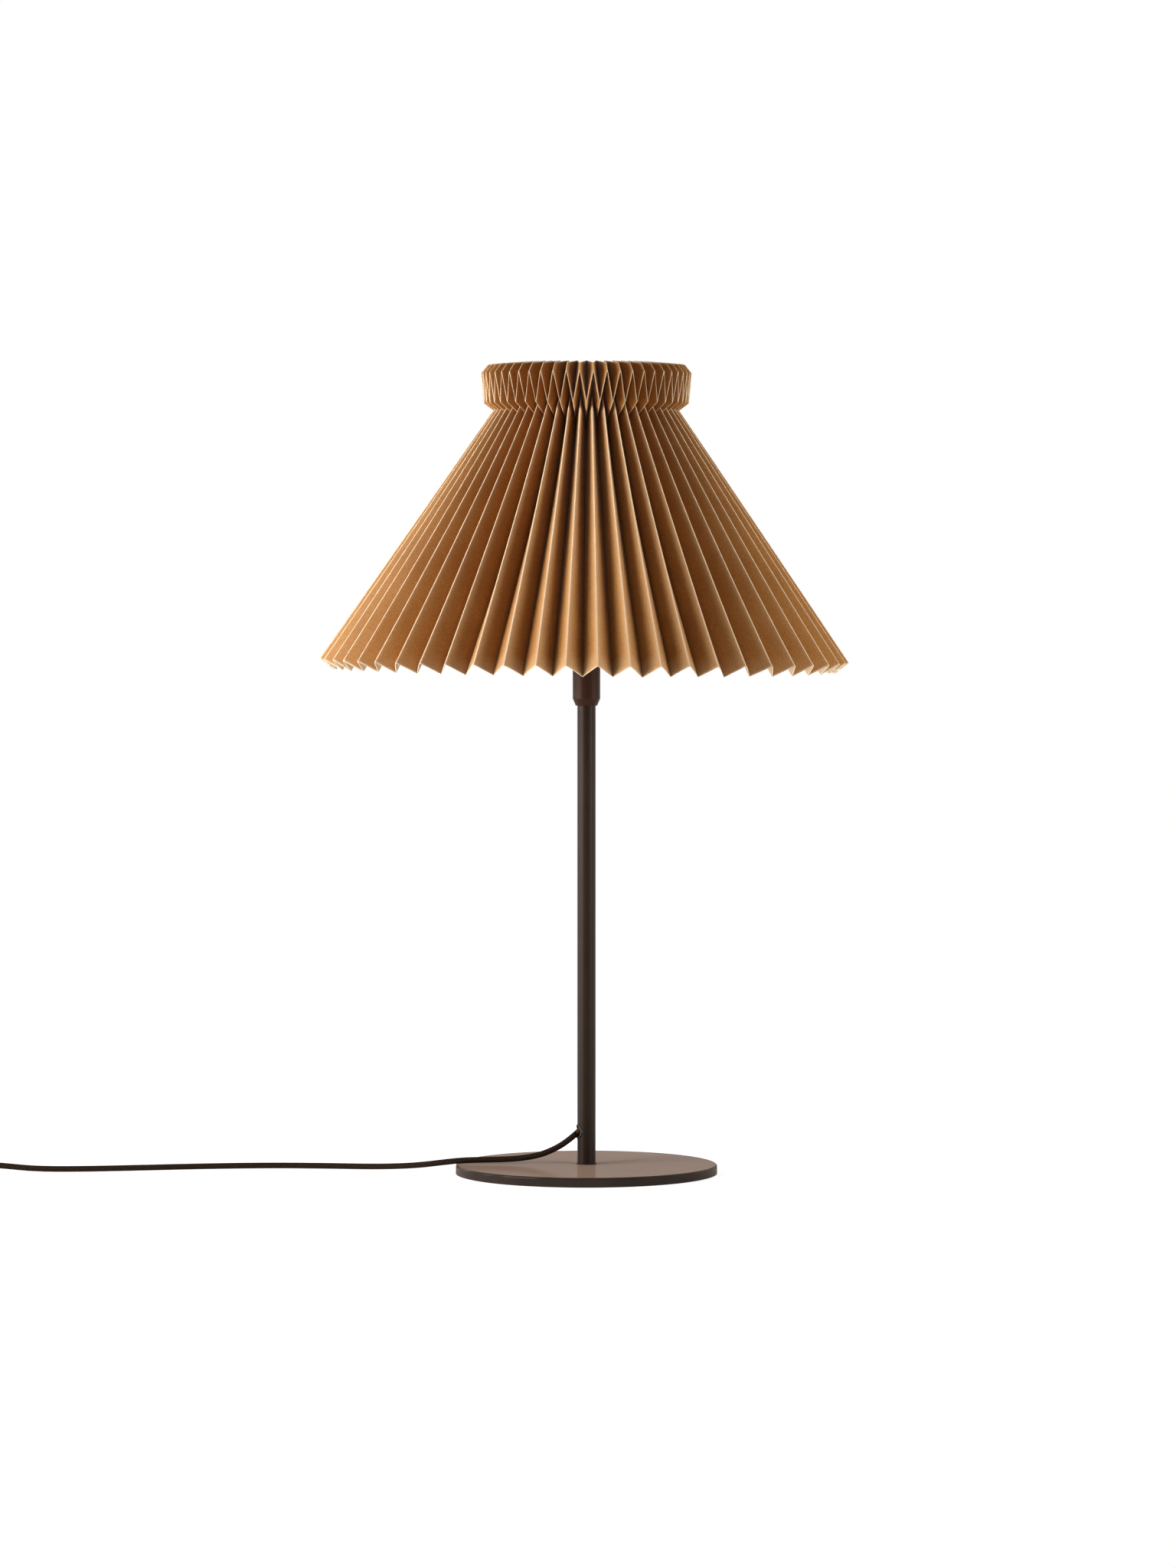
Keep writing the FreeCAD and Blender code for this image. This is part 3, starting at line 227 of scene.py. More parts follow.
def kraft_paper():
    """Kraft paper: mottled brown with fibres.

    Mesh attributes give painted shade, painted light and worn lines, partly painted highlight.
    """
    material, tree, shader = start_material("kraft_paper", PAPER_BROWN, 0.78, {
        "Specular IOR Level": 0.08,
        "Sheen Weight": 0.16,
        "Sheen Roughness": 0.4,
        "Sheen Tint": opaque(PAPER_SHEEN),
    })
    place = place_of(tree)
    cloud = noise(tree, place, scale=22, detail=4)
    grain = noise(tree, place, scale=900, detail=3, roughness=0.65)
    fibre = noise(tree, stretched(tree, place, FIBRE_STRETCH), scale=1500, roughness=0.7)
    speckle = span(tree, noise(tree, place, scale=950), *NOISE_MIDDLE)
    patchy = noise(tree, place, scale=160, detail=3)
    wear = span(tree, patchy, *NOISE_LOWER, new_low=WEAR_LEAST)
    tone = calculate(tree, "MULTIPLY_ADD", cloud, 0.5, calculate(tree, "MULTIPLY", grain, 0.5))
    # Painted shade in the inward folds and at the neck.
    painted_shade = calculate(tree, "MULTIPLY", attribute(tree, "painted_shade"), SHADE_STRENGTH)
    worn = calculate(tree, "MULTIPLY", attribute(tree, "crease"), wear)
    paint = blended(tree, span(tree, tone, *PAPER_TONES), PAPER_DEEP, PAPER_BROWN)
    # Blended in: fibres, speckle, painted shade, painted light and worn lines, partly painted
    # highlight.
    for share, colour in (
        (span(tree, fibre, *FIBRE_RANGE, new_high=FIBRE_SHARE), PAPER_FIBRE),
        (calculate(tree, "MULTIPLY", speckle, SPECKLE_SHARE), PAPER_SPECKLE),
        (painted_shade, PAPER_SHADE_BROWN),
        (attribute(tree, "painted_light"), PAPER_LIT_GOLD),
        (worn, PAPER_PALE),
    ):
        paint = blended(tree, share, paint, colour)
    paint_surface(tree, shader, paint)
    tooth = calculate(tree, "MULTIPLY_ADD", fibre, 0.4, grain)
    raise_surface(tree, shader, tooth, PAPER_TOOTH, strength=0.5)
    return material


def paper_core():
    """The paper's cut edge: pale, with short fibres."""
    material, tree, shader = start_material("paper_core", PAPER_PALE, 0.85)
    fibre = noise(tree, place_of(tree), scale=1800)
    share = span(tree, fibre, *NOISE_MIDDLE)
    paint_surface(tree, shader, tinted(tree, PAPER_PALE, share, darker=0.82, lighter=1.05))
    raise_surface(tree, shader, fibre, PAPER_TOOTH, strength=0.5)
    return material


def braided_textile():
    """Textile braid: strands cross over and under, and every second of one way is lighter.

    The mesh's braid layer holds the length along the cord and the share of a turn round it.
    """
    material, tree, shader = start_material("textile_braid", CORD_DARK, 0.75,
                                            {"Specular IOR Level": 0.08})
    braid = add_node(tree, "ShaderNodeSeparateXYZ", {0: attribute(tree, "braid", "Vector")})
    turns = calculate(tree, "MULTIPLY", braid.outputs[0], 1 / BRAID_LEAD)
    heights, strands = [], []
    for way in ("ADD", "SUBTRACT"):
        round_it = calculate(tree, way, braid.outputs[1], turns)
        number = calculate(tree, "MULTIPLY", round_it, BRAID_STRANDS)
        across = calculate(tree, "MULTIPLY", calculate(tree, "FRACT", number), math.pi)
        heights.append(calculate(tree, "SINE", across))
        strands.append(calculate(tree, "FLOOR", number))
    crossing = calculate(tree, "ABSOLUTE", calculate(tree, "ADD", *strands))
    under = calculate(tree, "MODULO", crossing, 2)
    over = calculate(tree, "SUBTRACT", 1, under)
    links = {0: under, 2: heights[0], 3: heights[1]}
    height = add_node(tree, "ShaderNodeMix", links).outputs[0]
    middle = calculate(tree, "ADD", strands[0], 0.5)
    second = calculate(tree, "LESS_THAN", calculate(tree, "FLOORED_MODULO", middle, 2), 1)
    fuzz = noise(tree, place_of(tree), scale=2500)
    lighter = calculate(tree, "MULTIPLY", second, over)
    lighter = calculate(tree, "MULTIPLY", lighter, span(tree, fuzz, *NOISE_LOWER))
    # Painted shade in the grooves: each strand darker towards its edges.
    dark = tinted(tree, CORD_DARK, span(tree, height, *BRAID_GROOVE_SHADE), darker=0.45, lighter=1)
    paint_surface(tree, shader, blended(tree, lighter, dark, CORD_LIGHT))
    fuzzy = calculate(tree, "MULTIPLY_ADD", fuzz, FUZZ_HEIGHT, height)
    raise_surface(tree, shader, fuzzy, BRAID_HEIGHT)
    return material


def moulded(name, colour, roughness, grain=900):
    """Moulded plastic or rubber: even colour, a fine spark-eroded grain and soft edges."""
    material, tree, shader = start_material(name, colour, roughness)
    place = place_of(tree)
    share = span(tree, noise(tree, place, scale=60, detail=3), *NOISE_SPREAD)
    paint_surface(tree, shader, tinted(tree, colour, share, darker=0.85, lighter=1.15))
    height = noise(tree, place, scale=grain)
    vary_roughness(tree, shader, height, roughness - 0.05, roughness + 0.07)
    raise_surface(tree, shader, height, MOULD_GRAIN, strength=0.4, edge_radius=MOULDED_EDGE)
    return material


def plain_metal(name, colour, roughness, stretch=(1, 1, 12)):
    """Metal with fine turning marks, a little tarnish and softened edges."""
    material, tree, shader = start_material(name, colour, roughness, {"Metallic": 1.0})
    place = place_of(tree)
    marks = noise(tree, stretched(tree, place, stretch), scale=500, detail=3)
    tarnish = noise(tree, place, scale=120, detail=4)
    share = span(tree, tarnish, *NOISE_MIDDLE)
    paint_surface(tree, shader, tinted(tree, colour, share, darker=0.78, lighter=1.05))
    vary_roughness(tree, shader, tarnish, roughness + 0.1, roughness - 0.04)
    raise_surface(tree, shader, marks, METAL_MARKS, strength=0.5, edge_radius=METAL_EDGE)
    return material


def opal_glass():
    """White opal glass: milky body under a clear glossy skin."""
    material, tree, shader = start_material("opal_glass", OPAL_WHITE, 0.16,
                                            {"Coat Weight": 0.5, "Coat Roughness": 0.05})
    share = span(tree, noise(tree, place_of(tree), scale=70), *NOISE_SPREAD)
    paint_surface(tree, shader, tinted(tree, OPAL_WHITE, share, darker=0.96, lighter=1.02))
    return material


def foam(name, colour):
    """Closed-cell foam or pressed fibre."""
    material, tree, shader = start_material(name, colour, 0.9)
    links = {"Vector": place_of(tree), "Scale": FOAM_CELLS}
    distance = add_node(tree, "ShaderNodeTexVoronoi", links).outputs["Distance"]
    # Painted shade in the pits: darker towards each cell's middle, where the bump sinks.
    paint_surface(tree, shader, tinted(tree, colour, distance, darker=0.7, lighter=1.3))
    raise_surface(tree, shader, distance, FOAM_DEPTH, strength=0.6)
    return material


# By the record's material slots, apart from the cup's coat, which has painted warm light.
FINISHES = {
    "base_coat": powder_coat("base_coat", BASE_BROWN, 0.3, gloss=0.0, sheen=0.26, clear=0.16,
                             dusty=0.05),
    "brown_coat": powder_coat("stem_coat", COAT_BROWN, 0.44, gloss=0.2, sheen=0.05),
    "cup_coat_painted_bounce": powder_coat("cup_coat_painted_bounce", CUP_BOUNCE_BROWN, 0.44, gloss=0.2, sheen=0.05),
    "wire_coat": powder_coat("wire_coat", COAT_BROWN, 0.4, gloss=0.2, sheen=0.05),
    "pad_foam": foam("pad_foam", (0.03, 0.03, 0.03)),
    "black_fibre": foam("black_fibre", (0.015, 0.013, 0.012)),
    "zinc_steel": plain_metal("zinc_steel", (0.58, 0.58, 0.56), 0.34),
    "brass": plain_metal("brass", (0.72, 0.52, 0.22), 0.3),
    "bulb_metal": plain_metal("bulb_metal", (0.72, 0.71, 0.68), 0.28, stretch=(1, 1, 30)),
    "pin_metal": plain_metal("pin_metal", (0.70, 0.69, 0.67), 0.2, stretch=(12, 1, 1)),
    "black_plastic": moulded("black_plastic", (0.022, 0.017, 0.015), 0.42),
    "outlet_plastic": moulded("outlet_plastic", (0.045, 0.034, 0.03), 0.3),
    "core_plastic": moulded("core_plastic", (0.55, 0.50, 0.43), 0.35),
    "rocker_plastic": moulded("rocker_plastic", (0.03, 0.023, 0.02), 0.24, grain=400),
    "black_rubber": moulded("black_rubber", (0.02, 0.016, 0.014), 0.62, grain=1300),
    "lead_insulation": moulded("lead_insulation", (0.12, 0.07, 0.04), 0.5),
    "opal_glass": opal_glass(),
    "textile_cord": braided_textile(),
    "kraft_paper": kraft_paper(),
}
# Nodes whose finish isn't their slot's: the cup's coat is redder, painted warm light from the
# shade.
NODE_FINISHES = {"holder_cup": "cup_coat_painted_bounce"}


def dress_nodes():
    """Give every CAD node its material."""
    for part in frame["record"]["subparts"]:
        finish = NODE_FINISHES.get(part["node"], part["material_slot"])
        materials = frame["nodes"][part["node"]].data.materials
        materials.clear()
        materials.append(FINISHES[finish])


# ---- camera ----------------------------------------------------------

CAMERA_PLACE = (0.0, -5.1527, 0.5581)
CAMERA_PITCH = 2.4209   # degrees down
CAMERA_YAW = -0.0148    # degrees to the left
LENS_MM = 136.08
SENSOR_MM = 36          # along the picture's long side


def make_camera():
    """The photograph's view."""
    data = bpy.data.cameras.new("photo_camera")
    data.lens = LENS_MM
    data.sensor_width = SENSOR_MM
    camera = bpy.data.objects.new("photo_camera", data)
    bpy.context.scene.collection.objects.link(camera)
    camera.location = CAMERA_PLACE
    camera.rotation_euler = (math.radians(90 - CAMERA_PITCH), 0, math.radians(CAMERA_YAW))
    bpy.context.scene.camera = camera


# ---- free cords ----------------------------------------------------------

CORD_RADIUS = 0.0026
CORD_FLOOR = 0.0027     # height of the cord's middle where it lies on the table
SWITCH_Y = 0.007
SWITCH_Z = 0.007        # height of the cord's middle in the switch's ends
RUN_ROUTE = [
    (-0.0084, -0.0025, 0.0358), (-0.0152, -0.0029, 0.0298), (-0.026, -0.0026, 0.0226),
    (-0.042, -0.002, 0.0159), (-0.063, -0.001, 0.0129), (-0.086, -0.002, 0.0124),
    (-0.107, -0.0025, 0.0121), (-0.125, -0.0005, 0.010), (-0.144, 0.006, 0.007),
    (-0.166, 0.017, 0.0046), (-0.192, 0.029, 0.0031), (-0.228, 0.039, CORD_FLOOR),
    (-0.275, 0.043, CORD_FLOOR), (-0.330, 0.037, CORD_FLOOR), (-0.388, 0.024, CORD_FLOOR),
    (-0.440, 0.013, CORD_FLOOR), (-0.480, 0.0085, 0.0032), (-0.506, 0.0072, 0.0058),
    (-0.520, SWITCH_Y, SWITCH_Z), (-0.530, SWITCH_Y, SWITCH_Z),
]
LEAD_START = [
    (-0.590, SWITCH_Y, SWITCH_Z), (-0.600, SWITCH_Y, SWITCH_Z), (-0.6248, SWITCH_Y, CORD_FLOOR),
]
PLUG_Y = 0.086
PLUG_Z = 0.00685        # height of the cord's middle in the plug's strain relief
LEAD_END = [(-0.6278, PLUG_Y, 0.0087), (-0.613, PLUG_Y, PLUG_Z), (-0.604, PLUG_Y, PLUG_Z)]
COIL_CENTRE = (-0.642, 0.0465)
COIL_RADIUS = 0.0395    # of the outermost turn
COIL_PITCH = 0.006      # from turn to turn, and from layer to layer
COIL_HALF_TURNS = 13
COIL_POINTS = 16        # control points in each turn
COIL_CLIMB = 0.5        # half turns in which the cord climbs to the upper layer
# The spline cuts inside its control points. They lie this many times further out, which makes
# up for about two thirds of it.
COIL_MAKE_UP = 0.67
COIL_OUTWARD = 1 / math.cos(math.pi / COIL_POINTS) ** COIL_MAKE_UP
SPLINE_STEPS = 4        # between control points
TUBE_SIDES = 16


def coil_points():
    """Control points of the coil: a spiral in on the floor, and out again on top of itself."""
    points = []
    for step in range(1, COIL_HALF_TURNS * COIL_POINTS // 2):
        halves = 2 * step / COIL_POINTS
        radius = COIL_RADIUS - COIL_PITCH / 2 * min(halves, COIL_HALF_TURNS - halves)
        angle = -math.pi / 2 - math.pi * halves
        climb = min(max((halves - COIL_HALF_TURNS / 2) / COIL_CLIMB + 0.5, 0), 1)
        points.append((
            COIL_CENTRE[0] + COIL_OUTWARD * radius * math.cos(angle),
            COIL_CENTRE[1] + COIL_OUTWARD * radius * math.sin(angle),
            CORD_FLOOR + COIL_PITCH * climb,
        ))
    return points


def spline_points(name, route):
    """Points along a smooth NURBS spline that has the route as its control points."""
    data = bpy.data.curves.new(name + "_route", "CURVE")
    data.dimensions = "3D"
    data.resolution_u = SPLINE_STEPS
    spline = data.splines.new("NURBS")
    spline.points.add(len(route) - 1)
    for point, place in zip(spline.points, route):
        point.co = (*place, 1)
    spline.order_u = 3
    spline.use_endpoint_u = True
    carrier = bpy.data.objects.new(name + "_route", data)
    mesh = bpy.data.meshes.new_from_object(carrier)
    points = [vertex.co.copy() for vertex in mesh.vertices]
    bpy.data.objects.remove(carrier)
    bpy.data.meshes.remove(mesh)
    return points


def tube_points(line, radius):
    """Rings of points round a line, each square to it and none twisted against the one before."""
    ways = [(after - before).normalized() for before, after in zip(line, line[1:])]
    middles = [(before + after).normalized() for before, after in zip(ways, ways[1:])]
    points = []
    side = Vector((0, 0, 1)).cross(ways[0]).normalized()
    for place, way in zip(line, [ways[0], *middles, ways[-1]]):
        side = (side - way * side.dot(way)).normalized()
        up = way.cross(side)
        for number in range(TUBE_SIDES):
            angle = math.tau * number / TUBE_SIDES
            points.append(place + (side * math.cos(angle) + up * math.sin(angle)) * radius)
    return points


def tube_mesh(name, line, radius):
    """A closed tube round a line, with a braid layer of (length along it, share of a turn)."""
    along = [0.0]
    for before, after in zip(line, line[1:]):
        along.append(along[-1] + (after - before).length)
    faces, layer = [], []
    for ring, (near, far) in enumerate(zip(along, along[1:])):
        first, last = ring * TUBE_SIDES, (ring + 1) * TUBE_SIDES
        for number in range(TUBE_SIDES):
            following = (number + 1) % TUBE_SIDES
            faces.append((first + number, first + following, last + following, last + number))
            here, there = number / TUBE_SIDES, (number + 1) / TUBE_SIDES
            layer += [(near, here), (near, there), (far, there), (far, here)]
    end = (len(line) - 1) * TUBE_SIDES
    faces.append(tuple(range(TUBE_SIDES - 1, -1, -1)))
    faces.append(tuple(range(end, end + TUBE_SIDES)))
    layer += [(0.0, 0.0)] * TUBE_SIDES + [(along[-1], 0.0)] * TUBE_SIDES
    mesh = bpy.data.meshes.new(name)
    mesh.from_pydata(tube_points(line, radius), [], faces)
    mesh.uv_layers.new(name="braid")
    mesh.uv_layers["braid"].data.foreach_set("uv", np.array(layer, np.float32).ravel())
    mesh.shade_smooth()
    return mesh


def add_piece(name, mesh, body, slot):
    """A mesh piece that rides on a body and takes a slot's material, if it has none yet."""
    piece = bpy.data.objects.new(name, mesh)
    bpy.context.scene.collection.objects.link(piece)
    if not mesh.materials:
        mesh.materials.append(FINISHES[slot])
    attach(piece, body)
    return piece


def make_cords():
    """The cord from the stem to the switch, and from there through the coil to the plug."""
    line = spline_points("cord_to_switch", RUN_ROUTE)
    mesh = tube_mesh("cord_to_switch", line, CORD_RADIUS)
    piece = add_piece("cord_to_switch", mesh, "lamp", "textile_cord")
    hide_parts("cord_run")
    line = spline_points("cord_to_plug", LEAD_START + coil_points() + LEAD_END)
    mesh = tube_mesh("cord_to_plug", line, CORD_RADIUS)
    piece = add_piece("cord_to_plug", mesh, "lamp", "textile_cord")
    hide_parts("cord_lead", "cord_coil", "cord_tail")


# ---- paper shade ----------------------------------------------------------

PLEATS = 54
FOLDS = 2 * PLEATS      # ridges and valleys in turn, with a panel after each
PLEAT_TURN = math.radians(-0.74)
HALF_PITCH = math.pi / PLEATS
PANEL_WIDTH = 0.0201    # from fold to fold across a panel
PAPER_HALF = 0.0002     # half the paper's thickness
# A fold line's creases as (radius, height): rim, neck, collar and top. The stretches between
# them are the cone, the flare and the collar, and the turned-in edge comes after the top.
RIDGE = [(0.2300, 0.4477), (0.0698, 0.6805), (0.0913, 0.6967), (0.0854, 0.7041)]
VALLEY = [(0.2176, 0.4387), (0.0652, 0.6530), (0.0889, 0.6709), (0.0607, 0.7062)]
TURN_IN_LENGTH = 0.016
TURN_IN_SLOPE = math.radians(39.6)
# Whether the ridges point out of the paper's outer face, in each stretch. Where they don't, the
# valleys do. And whether the creases round the shade do: neck, collar and top.
RIDGE_OUTWARD = (True, False, True, False)
CREASE_OUTWARD = {1: False, 2: True, 3: True}

STRETCH_ROWS = (16, 5, 5, 2)    # even steps up each stretch
CREASE_ROWS = (0.0005, 0.0018)  # how far from a crease there are more rows
# Points across a panel, closer near its two folds.
ACROSS = (0.0, 0.008, 0.02, 0.045, 0.1, 0.2, 0.35, 0.5, 0.65, 0.8, 0.9, 0.955, 0.98, 0.992)

# How uneven the folding is. The folds are loose at the rim and held tight from the neck up.
SHADE_SEED = 54
TIGHT = 0.12            # how loose the folds are from the neck up, where 1 is at the rim
FOLD_SOFT = 0.0002      # rounding of a loose fold
TIGHT_SOFTER = 0.00015  # how much rounder a fold is where the paper is held tight
RIDGE_SOFTER = 0.0004   # how much rounder a loose ridge is
FOLD_ASIDE = 0.0008     # how far a fold may stand to one side
FOLD_OUT = 0.0006       # how far it may stand out or in
PANEL_BOW = 0.0004      # how far a panel may bulge out
BOW_RANGE = (-0.4, 1)   # the shares of that which are drawn
OUT_RISE = -0.5         # how far up a fold goes for each metre out
BOW_RISE = 0.7          # the same for a bulge
# How far the folds stand from even places round the shade, at the rim and from the neck up:
# a turn of them all, a part that moves them from the front to the back, and one that moves them
# from both of these to the sides.
RIM_UNEVEN = [math.radians(part) for part in (0.7, 1.3, -0.45)]
NECK_UNEVEN = [math.radians(part) for part in (0.95, 0.65, 2.8)]
# More of that at the rim: degrees round it from the front, and degrees that folds stand aside.
RIM_WANDER_AT = [-110, -72, -62, -52, -40, -30, -14, 6, 20, 31, 40, 48, 60, 72, 110]
RIM_WANDER = [0, 1.6, 0.8, 0.3, 0.05, -0.2, -0.1, -0.5, -0.75, -1.3, -0.7, -0.1, 0.8, 1.5, 0]
RIM_LEAN = math.radians(0.54)   # the rim hangs lower on the right
RIM_SHIFT = -0.0017             # and stands to the left

# Paint. A worn line runs along each fold and crease that points outward, full up to the first
# distance and gone at the second, and beside it the paper gets a painted highlight.
WORN_LINE = (0.00025, 0.0007)
HIGHLIGHT_FADE = 0.0035       # distance in which the painted highlight falls to about a third
CONE_HIGHLIGHT = 0.45      # painted highlight beside a fold at the front and the back
FRONT_FOLDS_FAINTER = 0.75        # how much fainter worn lines are at the front's and back's rim: the sides' are a painted highlight
# painted highlight beside the folds above the neck
COLLAR_HIGHLIGHT = 0.045
WORN_COLLAR = 0.75      # how worn the folds above the neck are
COLLAR_CRISP = 2.0      # and how many times narrower their lines are
# Painted shade at the neck: full up to the first distance from it, and none from the second.
NECK_SHADE_SPAN = (0.006, 0.017)
NECK_SHADE_DARK = 0.7      # how dark the painted shade at the neck is
SHADED_SHARE = 0.45     # share of a panel with painted shade, from the inward fold
# Painted light on the cone's paper: outside, by its place from left to right, and inside.
SIDE_LIGHT_AT = (-0.95, -0.78, 0.8, 0.95)
SIDE_LIGHT = (0.14, 0.0, 0.0, 0.04)
INSIDE_LIGHT = 0.7


def fold_line(creases):
    """A fold line's creases with the inner edge of the turned-in stretch."""
    radius, height = creases[-1]
    inner = (radius - TURN_IN_LENGTH * math.cos(TURN_IN_SLOPE),
             height - TURN_IN_LENGTH * math.sin(TURN_IN_SLOPE))
    return np.array([*creases, inner])


FOLD_LINES = [fold_line(RIDGE), fold_line(VALLEY)]
# Where the folds of an even shade stand round it, with the first one again at the end.
FOLD_TURNS = PLEAT_TURN + HALF_PITCH * np.arange(FOLDS + 1)
FROM_FRONT = FOLD_TURNS + math.pi / 2
# The sheet's columns: the panel that each lies in, and its shares across from the panel's first
# fold and from the ridge.
PANEL = np.repeat(np.arange(FOLDS), len(ACROSS))
LATERAL = np.tile(ACROSS, FOLDS)
FROM_RIDGE = np.where(PANEL % 2 == 0, LATERAL, 1 - LATERAL)


def stretch_lengths(stretch):
    """A stretch's length along a ridge and along a valley."""
    return [np.linalg.norm(line[stretch + 1] - line[stretch]) for line in FOLD_LINES]


def sheet_rows():
    """Each row as (stretch, share of the stretch), from the rim to the inner edge."""
    rows = []
    for stretch, count in enumerate(STRETCH_ROWS):
        length = sum(stretch_lengths(stretch)) / 2
        near = [distance / length for distance in CREASE_ROWS]
        middle = [step / count for step in range(1, count)]
        far = [1 - share for share in reversed(near)]
        rows += [(stretch, share) for share in (0.0, *near, *middle, *far)]
    return rows + [(len(STRETCH_ROWS) - 1, 1.0)]


def row_ends(stretch, share):
    """A row's (radius, height) on a ridge and on a valley, and half its pleats' width."""
    top, low = (line[stretch] + share * (line[stretch + 1] - line[stretch]) for line in FOLD_LINES)
    return top, low, HALF_PITCH * (top[0] + low[0]) / 2


def rounded(share, softness):
    """A straight rise from 0 to a half over a share of 0 to a half, rounded at its start."""
    rise = np.sqrt(share * share + softness**2) - softness
    return rise / (np.sqrt(0.25 + softness**2) - softness) / 2


def eased(shares, ridge_softness, valley_softness):
    """How far down from ridge to valley each share across lies, with both folds rounded."""
    return np.where(shares <= 0.5, rounded(shares, ridge_softness),
                    1 - rounded(1 - shares, valley_softness))


def faded(distance, full, none):
    """1 up to a distance of full, falling to 0 at none."""
    return np.clip((none - distance) / (none - full), 0, 1)


def fold_shifts():
    """The angles that the folds stand aside from even places: at the rim, and from the neck up."""
    rim, neck = (
        turned + aside * np.sin(FROM_FRONT) + spread * np.sin(2 * FROM_FRONT)
        for turned, aside, spread in (RIM_UNEVEN, NECK_UNEVEN)
    )
    degrees_round = (np.degrees(FROM_FRONT) + 180) % 360 - 180
    return rim + np.radians(np.interp(degrees_round, RIM_WANDER_AT, RIM_WANDER)), neck


def row_points(stretch, share, shifts, asides, outs, bows):
    """One row of the paper's middle round the shade.

    shifts are those of fold_shifts. asides, outs and bows hold, for each fold or panel, the drawn
    share of how far it may stand aside, stand out or bulge.
    """
    top, low, half_width = row_ends(stretch, share)
    loose = TIGHT + (1 - TIGHT) * (1 - share) if stretch == 0 else TIGHT
    softness = (FOLD_SOFT + TIGHT_SOFTER * (1 - loose)) / half_width
    down = eased(FROM_RIDGE, softness + RIDGE_SOFTER * loose / half_width, softness)
    place = top + down[:, None] * (low - top)
    rim_shift, shift = shifts
    if stretch == 0:
        # Straight folds: the length of their shift goes evenly from the rim's to the neck's.
        rim_radius, neck_radius = RIDGE[0][0], RIDGE[1][0]
        shift = (1 - share) * rim_shift * rim_radius + share * shift * neck_radius
        shift = shift / top[0]
    turn = FOLD_TURNS + shift
    turn[:-1] += FOLD_ASIDE * loose * asides / top[0]
    turn[-1] = turn[0] + math.tau
    azimuth = turn[PANEL] * (1 - LATERAL) + turn[PANEL + 1] * LATERAL
    outs = outs[PANEL] * (1 - LATERAL) + outs[(PANEL + 1) % FOLDS] * LATERAL
    out = FOLD_OUT * loose * outs
    bow = PANEL_BOW * loose * bows[PANEL] * np.sin(np.pi * LATERAL)
    radius = place[:, 0] + out + bow
    height = place[:, 1] + OUT_RISE * out + BOW_RISE * bow
    x, y = radius * np.cos(azimuth), radius * np.sin(azimuth)
    hanging = np.clip((RIDGE[-1][1] - height) / (RIDGE[-1][1] - RIDGE[0][1]), 0, 1)
    return np.stack([x + RIM_SHIFT * hanging, y, height - x * math.tan(RIM_LEAN) * hanging], 1)


def row_layers(stretch, share):
    """One row's room between folds, crease, painted light and painted shade, for the outer and the
    inner face.
    """
    half_width = row_ends(stretch, share)[2]
    ridge_length, valley_length = stretch_lengths(stretch)
    length = ridge_length + FROM_RIDGE * (valley_length - ridge_length)
    ends = [share * length, (1 - share) * length]
    # The neck is at the upper end of the cone and the lower end of the flare.
    from_neck = ends[1 - stretch] if stretch < 2 else NECK_SHADE_SPAN[1]
    # Painted shade near the neck.
    neck_shade = faded(from_neck, *NECK_SHADE_SPAN) * np.ones_like(FROM_RIDGE)
    worn, ridge_highlight, crisp, pales = WORN_COLLAR, COLLAR_HIGHLIGHT, COLLAR_CRISP, (0, 0)
    if stretch == 0:
        # At the cone's front and back: painted highlight beside folds, and fainter worn lines.
        front = np.cos(FROM_FRONT[PANEL]) ** 2
        worn, ridge_highlight, crisp = 1 - FRONT_FOLDS_FAINTER * (1 - share) * front, CONE_HIGHLIGHT * front, 1
        pales = (np.interp(np.sin(FROM_FRONT[PANEL]), SIDE_LIGHT_AT, SIDE_LIGHT), INSIDE_LIGHT)
    layers = []
    for outer, pale in zip((True, False), pales):
        from_outward = FROM_RIDGE if RIDGE_OUTWARD[stretch] == outer else 1 - FROM_RIDGE
        from_inward = 1 - from_outward
        gaps = [from_outward * PANEL_WIDTH]
        for end, crease in zip(ends, (stretch, stretch + 1)):
            # The two cut edges aren't creases, and are worn on both faces.
            if CREASE_OUTWARD.get(crease, outer) == outer:
                gaps.append(end)
        near = crisp * np.min(gaps, axis=0)
        layers.append([
            from_inward * half_width,
            # Worn line, partly real wear and partly painted highlight at the sides.
            faded(near, *WORN_LINE) * worn * (1 - neck_shade),
            # Painted highlight beside outward folds, and painted light on the sides and inside.
            np.maximum(np.exp(-near / HIGHLIGHT_FADE) * ridge_highlight * (1 - neck_shade), pale),
            # Painted shade near the inward fold and at the neck.
            np.maximum(faded(from_inward, 0, SHADED_SHARE) ** 2, NECK_SHADE_DARK * neck_shade),
        ])
    return layers


def surface_normals(points):
    """The outer face's normal at each point of the surface."""
    round_it = np.roll(points, -1, axis=1) - np.roll(points, 1, axis=1)
    up = np.gradient(points, axis=0)
    normals = np.cross(round_it, up)
    return normals / np.linalg.norm(normals, axis=2, keepdims=True)


def sheet_skins(rows, rooms):
    """The points of both faces, as arrays of rows round the shade."""
    draw = random.Random(SHADE_SEED)
    asides, outs = (np.array([draw.uniform(-1, 1) for _ in range(FOLDS)]) for _ in range(2))
    bows = np.array([draw.uniform(*BOW_RANGE) for _ in range(FOLDS)])
    shifts = fold_shifts()
    points = np.array([row_points(*row, shifts, asides, outs, bows) for row in rows])
    normals = surface_normals(points)
    # Deep in a fold the inner corner has no room for the paper's half thickness.
    depths = np.minimum(PAPER_HALF, rooms)[..., None]
    return np.array([points + way * depth * normals for way, depth in zip((1, -1), depths)])


